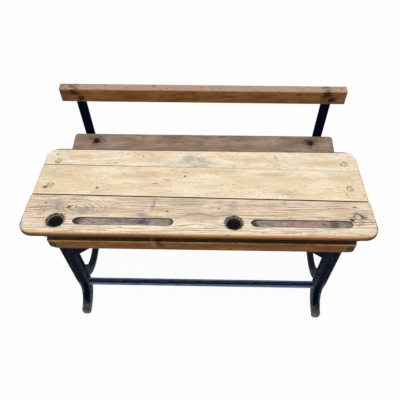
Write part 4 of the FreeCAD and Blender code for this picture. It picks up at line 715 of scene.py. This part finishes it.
# Angles, plates and hinges: forged iron, never painted, so a dull mid grey
ironLook = {"name": "dullWroughtIron", "enamel": "#3A3C3C", "mottle": "#2A2A29", "worn": "#5A5C5E",
            "grit": 1.2, "roughness": 0.65, "gloss": 0.2, "metal": 0.4, "chips": 0.6}

# Bolts, nuts and screws: turned steel with an old oxide skin, brown-black and matt
steelLook = {"name": "oxidisedSteelBolt", "enamel": "#2A1D16", "mottle": "#3A2A1E", "worn": "#4A4038",
             "grit": 1.0, "roughness": 0.65, "gloss": 0.15, "metal": 0.4, "chips": 0.6}

# Skin of all iron: its mottle, its rounded edges where the finish chips, and its grit, in mm.
# The grit is drawn coarser than casting sand so that it shows.
ironSkin = {"mottleCloud": ((26, 26, 26), 1.0, 4.0), "mottleRange": (0.45, 0.7), "edge": 3.2,
            "edgeSamples": 6, "chipCloud": ((16, 16, 16), 4.4, 5.0), "chipRange": (0.40, 0.58),
            "edgeRange": (0.985, 0.86), "gritSeed": 9.0, "gritDepth": 0.15, "bump": 0.5}


def addCastWear(tree, coords, colour, look):
    # the sunk face of the leg keeps its black, raised rims and the runner are rubbed, toes scuffed bare
    axes = addNode(tree, "SeparateXYZ", {0: coords}, out=None)
    off = addNode(tree, "Math", {0: axes.outputs["X"]}, operation="ABSOLUTE")
    off = addNode(tree, "Math", {0: off, 1: look["middle"]}, operation="SUBTRACT")
    off = addNode(tree, "Math", {0: off}, operation="ABSOLUTE")
    start, full = look["rubbedRange"]
    rubbed = addNode(tree, "MapRange", {"Value": cloudOf(tree, coords, *look["rubbedCloud"]),
                                        "From Min": start, "From Max": full})
    start, full = look["footRange"]
    onFoot = addNode(tree, "MapRange", {"Value": axes.outputs["Z"], "From Min": start, "From Max": full,
                                        "To Min": look["onPost"]})
    rubbed = addNode(tree, "Math", {0: rubbed, 1: onFoot}, operation="MULTIPLY")
    start, full = look["legRange"]
    onLeg = addNode(tree, "MapRange", {"Value": off, "From Min": start, "From Max": full})
    rubbed = addNode(tree, "Math", {0: rubbed, 1: onLeg}, operation="MULTIPLY")
    colour = stainWhere(tree, colour, off, look["rim"], rubbed)
    colour = stainWhere(tree, colour, off, look["channel"])
    colour = stainWhere(tree, colour, off, look["wing"])
    normal = addNode(tree, "NewGeometry", out="Normal")
    up = addNode(tree, "SeparateXYZ", {0: normal}, out="Z")
    start, full = look["runnerRange"]
    behind = addNode(tree, "MapRange", {"Value": axes.outputs["Y"], "From Min": start, "From Max": full})
    colour = stainWhere(tree, colour, up, look["runner"], behind)
    scuff = cloudOf(tree, coords, *look["scuffCloud"])
    low = addNode(tree, "Math", {0: scuff, 1: look["scuff"], 2: axes.outputs["Z"]}, operation="MULTIPLY_ADD")
    return stainWhere(tree, colour, low, look["toe"])


def addFootRailWearAndHighlight(tree, coords, colour, look):
    # chips and a painted highlight run along the top and along the front edge
    low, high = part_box("foot_rail")
    axes = addNode(tree, "SeparateXYZ", {0: coords}, out=None)
    start, full = look["scrapeRange"]
    scrape = addNode(tree, "MapRange", {"Value": cloudOf(tree, coords, *look["scrapeCloud"]),
                                        "From Min": start, "From Max": full, "To Min": look["least"]})
    start, full = (low[1] / mm + step for step in look["frontReach"])
    front = (look["front"], start, full, look["frontShare"])
    colour = stainWhere(tree, colour, axes.outputs["Y"], front, scrape)
    start, full = (high[2] / mm - step for step in look["topBelow"])
    top = (look["top"], start, full, look["topShare"])
    return stainWhere(tree, colour, axes.outputs["Z"], top, scrape)


def ironFinish(look, nodes):
    material, tree = newMaterial(look["name"])
    coords = boardSpace(tree, levelPlace)
    start, full = ironSkin["mottleRange"]
    patch = addNode(tree, "MapRange", {"Value": cloudOf(tree, coords, *ironSkin["mottleCloud"]),
                                       "From Min": start, "From Max": full})
    colour = addNode(tree, "Mix", {0: patch, 6: linear(look["enamel"]), 7: linear(look["mottle"])}, out=2,
                     data_type="RGBA")
    if "channel" in look:
        colour = addCastWear(tree, coords, colour, look)
    if "scrapeCloud" in look:
        colour = addFootRailWearAndHighlight(tree, coords, colour, look)
    flat = addNode(tree, "NewGeometry", out="Normal")
    rounded = addNode(tree, "Bevel", {"Radius": ironSkin["edge"] * mm}, samples=ironSkin["edgeSamples"])
    turn = addNode(tree, "VectorMath", {0: flat, 1: rounded}, out="Value", operation="DOT_PRODUCT")
    start, full = ironSkin["chipRange"]
    chips = addNode(tree, "MapRange", {"Value": cloudOf(tree, coords, *ironSkin["chipCloud"]),
                                       "From Min": start, "From Max": full})
    # on the cast ends this edge colour is wear and also a painted highlight
    worn = (look["worn"], *ironSkin["edgeRange"], look["chips"])
    colour = stainWhere(tree, colour, turn, worn, chips)
    grit = cloudOf(tree, coords, (look["grit"],) * 3, ironSkin["gritSeed"])
    bump = addNode(tree, "Bump", {"Strength": ironSkin["bump"], "Distance": ironSkin["gritDepth"] * mm,
                                  "Height": grit, "Normal": rounded})
    shader = addNode(tree, "BsdfPrincipled", {"Base Color": colour, "Roughness": look["roughness"],
                                              "Specular IOR Level": look["gloss"],
                                              "Metallic": look["metal"], "Normal": bump})
    addNode(tree, "OutputMaterial", {"Surface": shader})
    finishWith(material, *nodes)


slotNodes = {}
for part in frame["record"]["subparts"]:
    slotNodes.setdefault(part["material_slot"], []).append(part["node"])
ironFinish(castLook, slotNodes["painted_casting"])
ironFinish(barLook, ["left_back_upright", "right_back_upright"])
ironFinish(footRailLook, ["foot_rail"])
ironFinish(ironLook, slotNodes["wrought_iron"])
ironFinish(steelLook, slotNodes["dark_steel"])

# Feet of the ink board irons: flat iron turned forward on the rail, hammered, so its edges are soft.
# All in mm, and back is the front face of the standing irons.
ironFeet = {"spans": {"left": (-488, -466), "centre": (-7, 18), "right": (473, 491)}, "back": -287.6,
            "thick": 3.0, "reach": 12.8, "rise": 15.0, "soft": 0.8, "softSteps": 2}


def makeIronFeet(feet):
    thick, reach, rise = feet["thick"], feet["reach"], feet["rise"]
    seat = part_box("front_rail")[1][2] / mm
    profile = [(0, 0), (-reach, 0), (-reach, thick), (-thick, thick), (-thick, rise), (0, rise)]
    for side, span in feet["spans"].items():
        build = bmesh.new()
        ends = []
        for x in span:
            corners = [(x * mm, (feet["back"] + y) * mm, (seat + z) * mm) for y, z in profile]
            ends.append([build.verts.new(corner) for corner in corners])
        build.faces.new(ends[0])
        build.faces.new(ends[1][::-1])
        for i in range(len(profile)):
            j = (i + 1) % len(profile)
            build.faces.new((ends[0][j], ends[0][i], ends[1][i], ends[1][j]))
        bmesh.ops.recalc_face_normals(build, faces=build.faces)
        bmesh.ops.bevel(build, geom=build.edges, offset=feet["soft"] * mm, segments=feet["softSteps"],
                        affect="EDGES")
        mesh = bpy.data.meshes.new(side + "IronFoot")
        build.to_mesh(mesh)
        build.free()
        foot = bpy.data.objects.new(side + "IronFoot", mesh)
        scene.collection.objects.link(foot)
        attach(foot, "desk_frame")
        mesh.materials.append(bpy.data.materials[ironLook["name"]])


makeIronFeet(ironFeet)
print("iron finished")
